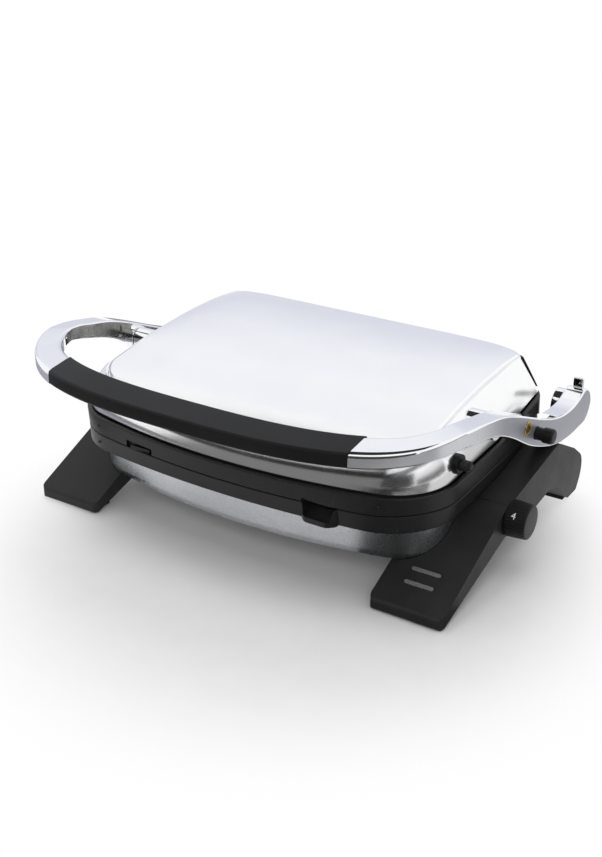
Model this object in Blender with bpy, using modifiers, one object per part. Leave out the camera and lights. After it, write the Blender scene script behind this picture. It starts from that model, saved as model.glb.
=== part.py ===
"""Countertop contact grill with a floating ribbed lid on a swinging chrome handle.

Frame: +X to the right of the user, +Y away from the user, +Z up. The origin is under the middle of the
whole object, on the table. Heights are measured from the table, widths from the middle plane between
the legs, and depths from the front edge of the legs; one empty then carries the shift to the origin.
"""
import math
from collections import namedtuple

import bmesh
import bpy

# Clearances
FIT_GAP = 0.0004
CUT_OVERRUN = 0.004
FUSE_OVERLAP = 0.001
MERGE_DISTANCE = 0.00001

# Plates, which set the plan of everything else
PLATE_HALF_WIDTH = 0.1674
PLATE_FRONT_Y = 0.0155
PLATE_HINGE_GAP = 0.0090
PLATE_FRONT_BOW = 0.0220
PLATE_FRONT_RADIUS = 0.047
PLATE_REAR_RADIUS = 0.030
PLATE_TAPER_SHARE = 0.02
SPLIT_Z = 0.0711
LOWER_RIM_HEIGHT = 0.0139
UPPER_RIM_HEIGHT = 0.0138
RIM_LAND = 0.0035
RIM_EDGE = 0.0008
RIM_WALL_INSET = 0.0070
DRIP_CHANNEL_INSET = 0.0140
COOKING_INSET = 0.0155
LOWER_CHANNEL_DEPTH = 0.0055
UPPER_CHANNEL_DEPTH = 0.0055
COOKING_FACE_DEPTH = 0.0040
RIB_HEIGHT = 0.0015
RIB_PITCH = 0.0145
RIB_TOP_WIDTH = 0.0030
RIB_FOOT_WIDTH = 0.0056
RIB_INSET = 0.0190
RIB_COUNT = 21
PLATE_THICKNESS = 0.0030
UPPER_PLATE_THICKNESS = 0.0020
SKIRT_WALL = 0.0032
SKIRT_DRAFT = 0.0014
PLATE_FOOT_INSET = 0.0030
PLATE_FOOT_WIDTH = 0.0035
LOWER_RIM_SIDE_DRAFT = 0.0014
LOWER_RIM_FRONT_SPREAD = 0.0019
LOWER_RIM_BOW_LOSS = 0.0054
RIM_BACK_DRAFT = 0.0025
UPPER_RIM_SIDE_DRAFT = 0.0008
UPPER_RIM_FRONT_DRAFT = 0.0024
UPPER_RIM_BOW_GAIN = 0.0037
UPPER_RIM_RADIUS_DRAFT = 0.0070
UPPER_RIM_LEDGE = 0.0036

# Fat spout on the lower plate, matching notch and finger tongue
SPOUT_X = 0.0852
SPOUT_WIDTH = 0.0300
SPOUT_WALL = 0.0016
SPOUT_REACH = 0.0045
SPOUT_NOSE_SHARE = 0.62
SPOUT_NOSE_RADIUS = 0.0060
SPOUT_ROOT = 0.0085
SPOUT_LIP_DROP = 0.0098
SPOUT_FLOOR_DROP = 0.0120
NOTCH_X = -0.079
NOTCH_WIDTH = 0.028
NOTCH_HEIGHT = 0.0058
NOTCH_DEPTH = 0.0052
TONGUE_WIDTH = 0.019
TONGUE_HEIGHT = 0.0032
TONGUE_THICKNESS = 0.0016

# Lid
LID_SEAT_GAP = 0.0017
LID_HEIGHT = 0.0418
LID_REAR_LIFT = 0.0115
LID_REAR_LIFT_START_Y = 0.130
LID_SIDE_INSET = 0.0051
LID_FRONT_Y = 0.0212
LID_BACK_INSET = 0.0125
LID_FRONT_BOW = 0.0248
LID_FRONT_RADIUS = 0.035
LID_REAR_RADIUS = 0.008
LID_WALL = 0.0010
LID_SIDE_LEAN = 0.0168
CREASE_FRONT_Y = 0.034
LID_BACK_LEAN = 0.0070
CREASE_FRONT_BOW = 0.018
CREASE_FRONT_RADIUS = 0.018
CREASE_REAR_RADIUS = 0.006
CREASE_FILLET = 0.0022
CREASE_ROLL = 0.0010
LID_CROWN = 0.0060
LID_CROWN_POWER = 10
LID_CROWN_START_Y = 0.050
LID_CROWN_END_Y = 0.190
LID_SIDE_SWEEP_DEGREES = 50.0
LID_SIDE_STEPS = 4
LID_TOP_SCALE_SHARES = (0.96, 0.91, 0.82, 0.65, 0.45, 0.2)
LID_ARCH_SHARES = ((0.0, 0.46), (0.12, 0.666), (0.295, 0.816), (0.42, 0.908), (0.6, 0.976),
                   (0.72, 1.0), (0.88, 0.993), (1.0, 0.952))
REAR_COVER_THICKNESS = 0.0012
REAR_COVER_WRAP = 0.0010
REAR_COVER_MARGIN = 0.0016
LID_REAR_FLAT_START_Y = 0.120
LID_REAR_FLAT_DEPTH = 0.0235

# Inside the lid
LID_FRAME_INSET = 0.0020
LID_FRAME_RISE = 0.0030
LID_FRAME_WALL = 0.0030
LID_FRAME_DRAFT = 0.0010
LID_FRAME_REAR_RADIUS = 0.0250
LID_FRAME_LEDGE = 0.0145
LID_FRAME_LEDGE_THICKNESS = 0.0018
HEATER_RADIUS = 0.0034
HEATER_SIDE_INSET = 0.0594
HEATER_FRONT_Y = 0.055
HEATER_LEAD_DEPTH = 0.0255
HEATER_BEND = 0.018
HEATER_LEAD_SPACING = 0.030
HEATER_BACK_INSET = 0.0325
HEATER_STEPS = 3
UPPER_SHIELD_INSET = 0.030
UPPER_SHIELD_HEIGHT = 0.0100
UPPER_SHIELD_DRAFT = 0.0020
SHIELD_NOTCH_HALF_WIDTH = 0.022
SHIELD_THICKNESS = 0.0008

# Lower housing
SHELL_TOP_DROP = 0.0005
SHELL_SIDE_INSET = 0.0104
SHELL_TOP_FRONT_Y = 0.0365
SHELL_BACK_INSET = 0.0075
SHELL_TOP_BOW = 0.0235
SHELL_TOP_FRONT_RADIUS = 0.028
SHELL_CREASE_Z = 0.0292
SHELL_CREASE_FRONT_Y = 0.0370
SHELL_CREASE_BOW = 0.0238
SHELL_CREASE_FRONT_RADIUS = 0.0275
SHELL_BOTTOM_Z = 0.0250
SHELL_TURN_IN = 0.0020
SHELL_BOTTOM_FRONT_Y = 0.0385
SHELL_BACK_TURN_IN = 0.0035
SHELL_BOTTOM_BOW = 0.0240
SHELL_BOTTOM_FRONT_RADIUS = 0.026
SHELL_REAR_RADIUS = 0.026
SHELL_WALL = 0.0012
SHELL_TOP_FLANGE = 0.0130
SHELL_BOTTOM_FLANGE = 0.0120
FLOOR_THICKNESS = 0.0012
FLOOR_INSET = 0.0035
LOWER_SHIELD_INSET = 0.0078
LOWER_SHIELD_DROP = 0.0032
VENT_COUNT = 7
VENT_LENGTH = 0.050
VENT_WIDTH = 0.0040
VENT_PITCH = 0.012
VENT_Y = 0.115

# Legs
LEG_SIDE_REACH = 0.0216
LEG_WIDTH = 0.060
LEG_LENGTH = 0.2533
LEG_HEIGHT = 0.0640
LEG_EDGE_BEVEL = 0.0012
LEG_TOE_HEIGHT = 0.0108
LEG_TOE_CLEARANCE = 0.0008
LEG_KNEE_Y = 0.0952
LEG_KNEE_Z = 0.0522
LEG_SOLE_END_Y = 0.098
LEG_SOLE_END_Z = 0.0285
LEG_UNDERLAP_END_Y = 0.072
LEG_ARC_STEPS = 5
LEG_CORNER_RADIUS = 0.014
LEG_SMALL_RADIUS = 0.0025
LEG_TAIL_RADIUS = 0.024
LEG_TOP_SHARES = ((0.772, 1.066),)
LEG_TAIL_SHARES = ((0.920, 0.760), (1.004, 0.520), (1.006, 0.260))
LEG_FOOT_SHARES = ((0.975, 0.0625), (0.902, 0.0625))
LEG_ARCH_SHARES = ((0.800, 0.395), (0.725, 0.490), (0.600, 0.430))
PAD_SIDE_MARGIN = 0.0045
FRONT_PAD_START_Y = 0.0030
FRONT_PAD_LENGTH = 0.0170
REAR_PAD_LENGTH = 0.0140
REAR_PAD_MARGIN = 0.0010

# Indicator lenses in the right foot
LENS_WIDTH = 0.0240
LENS_DEPTH = 0.0036
LENS_THICKNESS = 0.0030
LENS_PROUD = 0.0004
LENS_SIDE_INSET = 0.0300
LENS_FIRST_Y = 0.0185
LENS_SPACING = 0.0115
LAMP_RADIUS = 0.0012
LAMP_LENGTH = 0.0160

# Handle: the arms' outer edge is a superellipse in plan, and the grip closes it at the front
ARM_WIDTH = 0.0165
HANDLE_FRONT_Y = -0.0562
HANDLE_SHOULDER_Y = 0.055
HANDLE_INNER_FRONT_Y = -0.0302
HANDLE_CURVE_POWER = 2.75
GRIP_END_INSET = 0.0580
GRIP_FRONT_HEIGHT = 0.0112
GRIP_BACK_HEIGHT = 0.0147
GRIP_DROP = 0.0157
GRIP_EDGE_RADIUS = 0.0022
GRIP_STATIONS = 17
ARM_CORNER_STATIONS = 10
ARM_EDGE_RADIUS = 0.0016
ARM_SHOULDER_RADIUS = 0.0050
ARM_SHOULDER_Y = 0.0276
ARM_SHOULDER_TOP_Z = 0.1450
ARM_SHOULDER_DEPTH = 0.0115
HINGE_END_INSET = 0.0083
HINGE_Z = 0.081
TAIL_RADIUS = 0.0155
TAIL_STATIONS = 5
ARM_DEPTH = 0.0260
ARM_DROP_SHARES = ((0.0, 0.0), (0.08, 0.031), (0.15, 0.078), (0.22, 0.128), (0.29, 0.2), (0.36, 0.292),
                   (0.43, 0.391), (0.5, 0.495), (0.57, 0.597), (0.64, 0.691), (0.71, 0.773),
                   (0.78, 0.831), (0.85, 0.858), (0.91, 0.85), (0.96, 0.812), (1.0, 0.758))
ARM_DEPTH_SHARES = ((0.0, 0.442), (0.08, 0.5), (0.15, 0.531), (0.22, 0.588), (0.29, 0.662), (0.36, 0.742),
                    (0.43, 0.846), (0.5, 0.915), (0.6, 0.935), (0.75, 0.93), (0.85, 0.942),
                    (0.91, 0.988), (0.96, 1.065), (1.0, 1.192))
ARM_STATIONS = 15
ARM_POCKET_START_Y = 0.0470
ARM_POCKET_LENGTH = 0.0480
ARM_POCKET_MARGIN = 0.0030
ARM_POCKET_DEPTH = 0.0014
ARM_POCKET_RADIUS = 0.0028
TIE_RADIUS = 0.0030
TIE_SOCKET_DEPTH = 0.0120
STOP_LUG_BEHIND_HINGE = 0.0035
STOP_LUG_HEIGHT = 0.0085
STOP_LUG_THICKNESS = 0.0030
STOP_LUG_WIDTH = 0.0085
STOP_LUG_SINK = 0.0030

# Main hinge
HINGE_PIN_RADIUS = 0.0034
HINGE_PIN_HEAD_RADIUS = 0.0052
HINGE_PIN_HEAD_LENGTH = 0.0016
HINGE_DRUM_RADIUS = 0.0120
HINGE_DRUM_LENGTH = 0.0076
HINGE_RECESS_RADIUS = 0.0096
HINGE_RECESS_DEPTH = 0.0045
HINGE_CAP_RADIUS = 0.0092
HINGE_CAP_THICKNESS = 0.0014
HINGE_CAP_SINK = 0.0006
HINGE_POST_HALF_DEPTH = 0.0075
HINGE_POST_FOOT_Z = 0.0300
HINGE_PIN_REACH = 0.0108
BORE_END_GAP = 0.0010

# Lid pivots between the arms and the lid
PIVOT_Y = 0.108
PIVOT_Z = 0.1130
PIVOT_SHOULDER_RADIUS = 0.0105
PIVOT_PIN_RADIUS = 0.0035
PIVOT_SPLIT_GAP = 0.0017
PIVOT_BOSS_RADIUS = 0.0095
PIVOT_PIN_REACH = 0.0060
PIVOT_HEAD_RADIUS = 0.0052
PIVOT_HEAD_LENGTH = 0.0018
PIVOT_BOSS_SINK = 0.0183
PIVOT_BRACKET_INSET = 0.0203
PIVOT_BRACKET_THICKNESS = 0.0025
PIVOT_BRACKET_HALF_WIDTH = 0.0120
PIVOT_BRACKET_TOP_MARGIN = 0.0065
PIVOT_BRACKET_FOOT = 0.0080
FLOAT_DEGREES = 7.0

# Lid lock plunger on the right arm
LOCK_Y = 0.1443
LOCK_Z = 0.0976
LOCK_NECK_RADIUS = 0.0050
LOCK_NECK_LENGTH = 0.0065
LOCK_HEAD_RADIUS = 0.0060
LOCK_HEAD_LENGTH = 0.0085
LOCK_HEAD_EDGE = 0.0012
LOCK_PIN_RADIUS = 0.0022
LOCK_PIN_GRIP = 0.0110
LOCK_TRAVEL = 0.0050
LOCK_CLIP_RADIUS = 0.0045
LOCK_CLIP_THICKNESS = 0.0010
LOCK_SLOT_STEPS = 5

# Plate release button on the lid's right side
RELEASE_Y = 0.0675
RELEASE_Z = 0.0965
RELEASE_WALL_SINK = 0.0001
RELEASE_BEZEL_RADIUS = 0.0075
RELEASE_BEZEL_THICKNESS = 0.0018
RELEASE_BUTTON_RADIUS = 0.0042
RELEASE_TIP_RADIUS = 0.0031
RELEASE_BUTTON_LENGTH = 0.0085
RELEASE_TIP_LENGTH = 0.0020
RELEASE_STEM_RADIUS = 0.0020
RELEASE_COLLAR_RADIUS = 0.0055
RELEASE_COLLAR_DEPTH = 0.0062
RELEASE_COLLAR_THICKNESS = 0.0014
RELEASE_SEAT_DEPTH = 0.0122
RELEASE_SEAT_THICKNESS = 0.0015
RELEASE_SEAT_HALF_WIDTH = 0.0060
RELEASE_SEAT_TOP_MARGIN = 0.0045
RELEASE_CATCH_DEPTH = 0.0227
RELEASE_CATCH_THICKNESS = 0.0030
RELEASE_CATCH_HALF_WIDTH = 0.0040
RELEASE_CATCH_TOP_MARGIN = 0.0028
RELEASE_TONGUE_Z = 0.0880
RELEASE_TONGUE_THICKNESS = 0.0020
RELEASE_TONGUE_LENGTH = 0.0068
LUG_DEPTH = 0.0127
LUG_THICKNESS = 0.0020
LUG_HOOK_LENGTH = 0.0043
LUG_HALF_WIDTH = 0.0030
LUG_HOOK_THICKNESS = 0.0020
FRAME_NOTCH_HALF_WIDTH = 0.0045
SPRING_WIRE_RADIUS = 0.0004
SPRING_COIL_RADIUS = 0.0031
SPRING_TURNS = 3
SPRING_POINTS_PER_TURN = 10

# Thermostat and its knob
KNOB_Y = 0.105
KNOB_Z = 0.0435
KNOB_RADIUS = 0.0143
KNOB_LENGTH = 0.0170
KNOB_TIP_RADIUS = 0.0134
KNOB_EDGE = 0.0012
KNOB_SOCKET_DEPTH = 0.0090
SHAFT_RADIUS = 0.0028
SHAFT_GRIP = 0.0080
SPINDLE_RADIUS = 0.0018
SPINDLE_START_DEPTH = 0.0250
SPINDLE_END_DEPTH = 0.0095
THERMOSTAT_INNER_DEPTH = 0.0410
THERMOSTAT_OUTER_DEPTH = 0.0110
THERMOSTAT_DEPTH = 0.028
THERMOSTAT_EDGE = 0.0015

# Wiring and inlet
TERMINAL_X = 0.055
TERMINAL_BACK_INSET = 0.0385
TERMINAL_SIZE = (0.034, 0.016, 0.0110)
TERMINAL_EDGE = 0.0012
GLAND_X = 0.090
GLAND_Z = 0.0420
GLAND_RADIUS = 0.0062
GLAND_FLANGE_RADIUS = 0.0085
GLAND_FLANGE_THICKNESS = 0.0025
GLAND_LENGTH = 0.0170
GLAND_BORE_RADIUS = 0.0038
LOOM_RADIUS = 0.0016
LOOM_POINTS = 15

# Fasteners
SCREW_RADIUS = 0.0018
SCREW_HEAD_RADIUS = 0.0034
SCREW_HEAD_LENGTH = 0.0022
SCREW_LENGTH = 0.0110
LEG_SCREW_PLACES = (("front", 0.070, 0.0325), ("rear", 0.160, 0.0450))
DISC_RADIUS = 0.0058
DISC_THICKNESS = 0.0012
DISC_Y = 0.1262
DISC_Z = 0.1085
DISC_SINK = 0.0005

ROUND_SEGMENTS = 24
SMALL_SEGMENTS = 16
FRONT_STEPS = 5
CORNER_STEPS = 6
SIDE_STEPS = 3
REAR_STEPS = 2
SECTION_STEPS = 2

COLLECTION_NAME = "sandwich_maker"
PALETTE = {
    "steel": ((0.78, 0.79, 0.81), 1.0, 0.28),
    "chrome": ((0.86, 0.87, 0.88), 1.0, 0.06),
    "black_grip": ((0.035, 0.035, 0.037), 0.0, 0.38),
    "black_plastic": ((0.055, 0.055, 0.058), 0.0, 0.5),
    "cast": ((0.045, 0.044, 0.043), 0.35, 0.5),
    "rubber": ((0.03, 0.03, 0.03), 0.0, 0.8),
    "lens": ((0.62, 0.62, 0.6), 0.0, 0.2),
    "brass": ((0.78, 0.6, 0.25), 1.0, 0.25),
    "zinc": ((0.6, 0.61, 0.62), 1.0, 0.4),
    "aluminium": ((0.75, 0.76, 0.77), 1.0, 0.4),
    "ivory": ((0.8, 0.78, 0.7), 0.0, 0.5),
}

HINGE_Y = LEG_LENGTH - HINGE_END_INSET
STOP_LUG_Y = HINGE_Y + STOP_LUG_BEHIND_HINGE
ARM_REACH = HINGE_Y - ARM_SHOULDER_Y
ARM_RISE = (ARM_SHOULDER_TOP_Z - HINGE_Z - TAIL_RADIUS) / ARM_DROP_SHARES[-1][1]
ARM_SHOULDER_BOTTOM_Z = ARM_SHOULDER_TOP_Z - ARM_SHOULDER_DEPTH
GRIP_BOTTOM_Z = ARM_SHOULDER_TOP_Z - GRIP_DROP
GRIP_FRONT_TOP_Z = GRIP_BOTTOM_Z + GRIP_FRONT_HEIGHT
GRIP_BACK_TOP_Z = GRIP_BOTTOM_Z + GRIP_BACK_HEIGHT
REAR_PAD_START_Y = LEG_LENGTH * LEG_FOOT_SHARES[1][0] + REAR_PAD_MARGIN
PLATE_BACK_Y = HINGE_Y - PLATE_HINGE_GAP
HEATER_LEAD_BACK_Y = PLATE_BACK_Y - HEATER_BACK_INSET
HEATER_BACK_Y = HEATER_LEAD_BACK_Y - HEATER_LEAD_DEPTH
LID_BACK_Y = PLATE_BACK_Y - LID_BACK_INSET
CREASE_BACK_Y = LID_BACK_Y - LID_BACK_LEAN
LID_REAR_FLAT_END_Y = LID_BACK_Y - LID_REAR_FLAT_DEPTH
SHELL_TOP_BACK_Y = PLATE_BACK_Y - SHELL_BACK_INSET
SHELL_BOTTOM_BACK_Y = SHELL_TOP_BACK_Y - SHELL_BACK_TURN_IN
TERMINAL_Y = SHELL_TOP_BACK_Y - TERMINAL_BACK_INSET
SHELL_TOP_HALF_WIDTH = PLATE_HALF_WIDTH - SHELL_SIDE_INSET
SHELL_BOTTOM_HALF_WIDTH = SHELL_TOP_HALF_WIDTH - SHELL_TURN_IN
SPINDLE_START_X = SHELL_TOP_HALF_WIDTH - SPINDLE_START_DEPTH
SPINDLE_END_X = SHELL_TOP_HALF_WIDTH - SPINDLE_END_DEPTH
THERMOSTAT_INNER_X = SHELL_TOP_HALF_WIDTH - THERMOSTAT_INNER_DEPTH
THERMOSTAT_OUTER_X = SHELL_TOP_HALF_WIDTH - THERMOSTAT_OUTER_DEPTH
HEATER_HALF_SPAN = PLATE_HALF_WIDTH - HEATER_SIDE_INSET
LID_HALF_WIDTH = PLATE_HALF_WIDTH - LID_SIDE_INSET
CREASE_HALF_WIDTH = LID_HALF_WIDTH - LID_SIDE_LEAN
PIVOT_SPLIT_X = LID_HALF_WIDTH + PIVOT_SPLIT_GAP
PIVOT_BOSS_START_X = LID_HALF_WIDTH - PIVOT_BOSS_SINK
PIVOT_BRACKET_X = LID_HALF_WIDTH - PIVOT_BRACKET_INSET
LOCK_PIN_TIP_X = PIVOT_SPLIT_X
RELEASE_WALL_X = LID_HALF_WIDTH - RELEASE_WALL_SINK
RELEASE_COLLAR_X = RELEASE_WALL_X - RELEASE_COLLAR_DEPTH
RELEASE_SEAT_X = RELEASE_WALL_X - RELEASE_SEAT_DEPTH
RELEASE_CATCH_X = RELEASE_WALL_X - RELEASE_CATCH_DEPTH
LUG_OUTER_X = RELEASE_WALL_X - LUG_DEPTH
LEG_OUTER_X = PLATE_HALF_WIDTH + LEG_SIDE_REACH
LEG_INNER_X = LEG_OUTER_X - LEG_WIDTH
LENS_X = LEG_OUTER_X - LENS_SIDE_INSET
ARM_INNER_X = LEG_OUTER_X - ARM_WIDTH
GRIP_HALF_LENGTH = LEG_OUTER_X - GRIP_END_INSET

Plan = namedtuple("Plan", "half_width front back bow front_radius rear_radius")

SPLIT_PLAN = Plan(PLATE_HALF_WIDTH, PLATE_FRONT_Y, PLATE_BACK_Y, PLATE_FRONT_BOW, PLATE_FRONT_RADIUS,
                  PLATE_REAR_RADIUS)
LOWER_RIM_PLAN = Plan(PLATE_HALF_WIDTH - LOWER_RIM_SIDE_DRAFT, PLATE_FRONT_Y - LOWER_RIM_FRONT_SPREAD,
                      PLATE_BACK_Y - RIM_BACK_DRAFT, PLATE_FRONT_BOW - LOWER_RIM_BOW_LOSS,
                      PLATE_FRONT_RADIUS, PLATE_REAR_RADIUS - RIM_BACK_DRAFT)
UPPER_RIM_PLAN = Plan(PLATE_HALF_WIDTH - UPPER_RIM_SIDE_DRAFT, PLATE_FRONT_Y + UPPER_RIM_FRONT_DRAFT,
                      PLATE_BACK_Y - RIM_BACK_DRAFT, PLATE_FRONT_BOW + UPPER_RIM_BOW_GAIN,
                      PLATE_FRONT_RADIUS - UPPER_RIM_RADIUS_DRAFT, PLATE_REAR_RADIUS - RIM_BACK_DRAFT)
LID_PLAN = Plan(LID_HALF_WIDTH, LID_FRONT_Y, LID_BACK_Y, LID_FRONT_BOW, LID_FRONT_RADIUS, LID_REAR_RADIUS)
LID_FRAME_PLAN = LID_PLAN._replace(rear_radius=LID_FRAME_REAR_RADIUS)
CREASE_PLAN = Plan(CREASE_HALF_WIDTH, CREASE_FRONT_Y, CREASE_BACK_Y, CREASE_FRONT_BOW,
                   CREASE_FRONT_RADIUS, CREASE_REAR_RADIUS)
SHELL_TOP_PLAN = Plan(SHELL_TOP_HALF_WIDTH, SHELL_TOP_FRONT_Y, SHELL_TOP_BACK_Y, SHELL_TOP_BOW,
                      SHELL_TOP_FRONT_RADIUS, SHELL_REAR_RADIUS)
SHELL_CREASE_PLAN = Plan(SHELL_TOP_HALF_WIDTH, SHELL_CREASE_FRONT_Y, SHELL_TOP_BACK_Y,
                         SHELL_CREASE_BOW, SHELL_CREASE_FRONT_RADIUS, SHELL_REAR_RADIUS)
SHELL_BOTTOM_PLAN = Plan(SHELL_BOTTOM_HALF_WIDTH, SHELL_BOTTOM_FRONT_Y, SHELL_BOTTOM_BACK_Y,
                         SHELL_BOTTOM_BOW, SHELL_BOTTOM_FRONT_RADIUS, SHELL_REAR_RADIUS)

LOWER_RIM_BOTTOM_Z = SPLIT_Z - LOWER_RIM_HEIGHT
UPPER_RIM_BOTTOM_Z = SPLIT_Z + FIT_GAP
UPPER_RIM_TOP_Z = UPPER_RIM_BOTTOM_Z + UPPER_RIM_HEIGHT
UPPER_PLATE_BACK_Z = UPPER_RIM_BOTTOM_Z + UPPER_CHANNEL_DEPTH + UPPER_PLATE_THICKNESS
LOWER_PLATE_BACK_Z = SPLIT_Z - LOWER_CHANNEL_DEPTH - PLATE_THICKNESS
LID_BOTTOM_Z = UPPER_RIM_TOP_Z + LID_SEAT_GAP
SHELL_TOP_Z = LOWER_RIM_BOTTOM_Z - SHELL_TOP_DROP
HINGE_DRUM_INNER_X = ARM_INNER_X - FIT_GAP - HINGE_DRUM_LENGTH
GLAND_FLANGE_Y = SHELL_TOP_BACK_Y + FIT_GAP
KNOB_INNER_X = LEG_OUTER_X + FIT_GAP
FOOT_SLOPE = (LEG_KNEE_Z - LEG_TOE_HEIGHT) / LEG_KNEE_Y
SOLE_SLOPE = (LEG_SOLE_END_Z - LEG_TOE_CLEARANCE) / LEG_SOLE_END_Y
FLOOR_Z = SHELL_BOTTOM_Z + SHELL_WALL + FIT_GAP
FLOOR_TOP_Z = FLOOR_Z + FLOOR_THICKNESS

ORIGIN_X = (KNOB_INNER_X + KNOB_LENGTH - LEG_OUTER_X) / 2
TAIL_END_Y = HINGE_Y + TAIL_RADIUS - ARM_EDGE_RADIUS / 2
ORIGIN_Y = (TAIL_END_Y + HANDLE_FRONT_Y) / 2

X_AXIS = (math.pi / 2, 0, math.pi / 2)
Y_AXIS = (math.pi / 2, 0, 0)
Z_AXIS = (0, 0, 0)


# Scene and object helpers

def clear_scene():
    for obj in list(bpy.data.objects):
        bpy.data.objects.remove(obj, do_unlink=True)


def make_collection(name):
    collection = bpy.data.collections.new(name)
    bpy.context.scene.collection.children.link(collection)
    return collection


clear_scene()
PARTS = make_collection(COLLECTION_NAME)
CUTTERS = make_collection("cutters")


def make_empty(name, location, parent=None):
    empty = bpy.data.objects.new(name, None)
    PARTS.objects.link(empty)
    empty.parent = parent
    empty.location = location
    return empty


ORIGIN = make_empty("object_origin", (-ORIGIN_X, -ORIGIN_Y, 0))
JOINTS = {
    "base": (0, 0, 0),
    "handle": (0, HINGE_Y, HINGE_Z),
    "lid": (0, PIVOT_Y, PIVOT_Z),
    "knob": (KNOB_INNER_X, KNOB_Y, KNOB_Z),
    "lock": (LEG_OUTER_X, LOCK_Y, LOCK_Z),
    "release": (RELEASE_WALL_X, RELEASE_Y, RELEASE_Z),
}
EMPTIES = {name: make_empty(name + "_axis", place, ORIGIN) for name, place in JOINTS.items()}


def finish(obj, palette):
    """Give an object its own plain material."""
    colour, metallic, roughness = PALETTE[palette]
    material = bpy.data.materials.new(obj.name + "_finish")
    material.use_nodes = True
    shader = material.node_tree.nodes["Principled BSDF"]
    shader.inputs["Base Color"].default_value = (*colour, 1.0)
    shader.inputs["Metallic"].default_value = metallic
    shader.inputs["Roughness"].default_value = roughness
    obj.data.materials.clear()
    obj.data.materials.append(material)


def smooth(obj, degrees=35.0):
    obj.data.shade_smooth()
    obj.data.set_sharp_from_angle(angle=math.radians(degrees))


def seat(obj, palette, body="base"):
    """Hand a finished shape to its body, whose empty lies on the joint's axis."""
    joint = JOINTS[body]
    obj.parent = EMPTIES[body]
    obj.location = [obj.location[k] - joint[k] for k in range(3)]
    finish(obj, palette)
    smooth(obj)
    return obj


def add_mesh_object(name, bm):
    bm.normal_update()
    bmesh.ops.recalc_face_normals(bm, faces=bm.faces)
    mesh = bpy.data.meshes.new(name)
    bm.to_mesh(mesh)
    bm.free()
    obj = bpy.data.objects.new(name, mesh)
    PARTS.objects.link(obj)
    return obj


def as_tool(obj):
    """Turn a shape into a cutter or a piece to be joined on: it stays hidden in its own collection."""
    PARTS.objects.unlink(obj)
    CUTTERS.objects.link(obj)
    obj.display_type = "WIRE"
    obj.hide_render = True
    obj.parent = ORIGIN
    return obj


def combine(obj, tool, operation):
    modifier = obj.modifiers.new(operation.lower(), "BOOLEAN")
    modifier.operation = operation
    modifier.solver = "EXACT"
    modifier.object = as_tool(tool) if tool.name in PARTS.objects else tool


def cut(obj, tool):
    combine(obj, tool, "DIFFERENCE")


def join(obj, tool):
    combine(obj, tool, "UNION")


def bevel(obj, width, segments=2):
    modifier = obj.modifiers.new("edges", "BEVEL")
    modifier.width = width
    modifier.segments = segments
    modifier.limit_method = "ANGLE"
    modifier.angle_limit = math.radians(40.0)


# Solids

def loft(name, rings, wrap=False):
    """One closed body through rings of equal count; its ends are capped unless the rings wrap round."""
    bm = bmesh.new()
    layers = [[bm.verts.new(point) for point in ring] for ring in rings]
    count = len(layers[0])
    pairs = list(zip(layers, layers[1:]))
    if wrap:
        pairs.append((layers[-1], layers[0]))
    for low, high in pairs:
        for i in range(count):
            j = (i + 1) % count
            bm.faces.new((low[i], low[j], high[j], high[i]))
    if not wrap:
        bm.faces.new(layers[0])
        bm.faces.new(layers[-1])
    return add_mesh_object(name, bm)


def block(name, low, high, edge=0.0):
    """A box between two corners, with bevelled edges if asked."""
    bm = bmesh.new()
    bmesh.ops.create_cube(bm, size=1.0)
    for vert in bm.verts:
        vert.co = [low[k] + (vert.co[k] + 0.5) * (high[k] - low[k]) for k in range(3)]
    if edge:
        bmesh.ops.bevel(bm, geom=bm.edges[:], offset=edge, segments=2, affect="EDGES", profile=0.5)
    return add_mesh_object(name, bm)


def rod(name, axis, place, low, high, radius, end_radius=None, segments=SMALL_SEGMENTS):
    """A cylinder or cone along an axis from low to high; place holds the other two coordinates."""
    bm = bmesh.new()
    bmesh.ops.create_cone(bm, cap_ends=True, segments=segments, radius1=radius,
                          radius2=radius if end_radius is None else end_radius, depth=high - low)
    middle = (low + high) / 2
    for vert in bm.verts:
        across, up, along = vert.co
        if axis == "X":
            vert.co = (middle + along, place[0] + across, place[1] + up)
        elif axis == "Y":
            vert.co = (place[0] + across, middle + along, place[1] + up)
        else:
            vert.co = (place[0] + across, place[1] + up, middle + along)
    return add_mesh_object(name, bm)


def mesh_from_curve(obj):
    """Replace a curve by its closed mesh."""
    bpy.context.view_layer.update()
    evaluated = obj.evaluated_get(bpy.context.evaluated_depsgraph_get())
    mesh = bpy.data.meshes.new_from_object(evaluated)
    bm = bmesh.new()
    bm.from_mesh(mesh)
    bmesh.ops.remove_doubles(bm, verts=bm.verts, dist=MERGE_DISTANCE)
    bmesh.ops.transform(bm, matrix=obj.matrix_world, verts=bm.verts)
    name = obj.name
    bpy.data.objects.remove(obj, do_unlink=True)
    bpy.data.meshes.remove(mesh)
    return add_mesh_object(name, bm)


def slab(name, outline, turn, low, high):
    """A flat outline filled and extruded along the axis that its turn names, from low to high."""
    curve = bpy.data.curves.new(name, "CURVE")
    curve.dimensions = "2D"
    curve.fill_mode = "BOTH"
    curve.extrude = (high - low) / 2
    spline = curve.splines.new("POLY")
    spline.points.add(len(outline) - 1)
    for point, (across, up) in zip(spline.points, outline):
        point.co = (across, up, 0, 1)
    spline.use_cyclic_u = True
    obj = bpy.data.objects.new(name, curve)
    PARTS.objects.link(obj)
    middle = (high + low) / 2
    obj.rotation_euler = turn
    obj.location = {X_AXIS: (middle, 0, 0), Y_AXIS: (0, middle, 0), Z_AXIS: (0, 0, middle)}[turn]
    return mesh_from_curve(obj)


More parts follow.
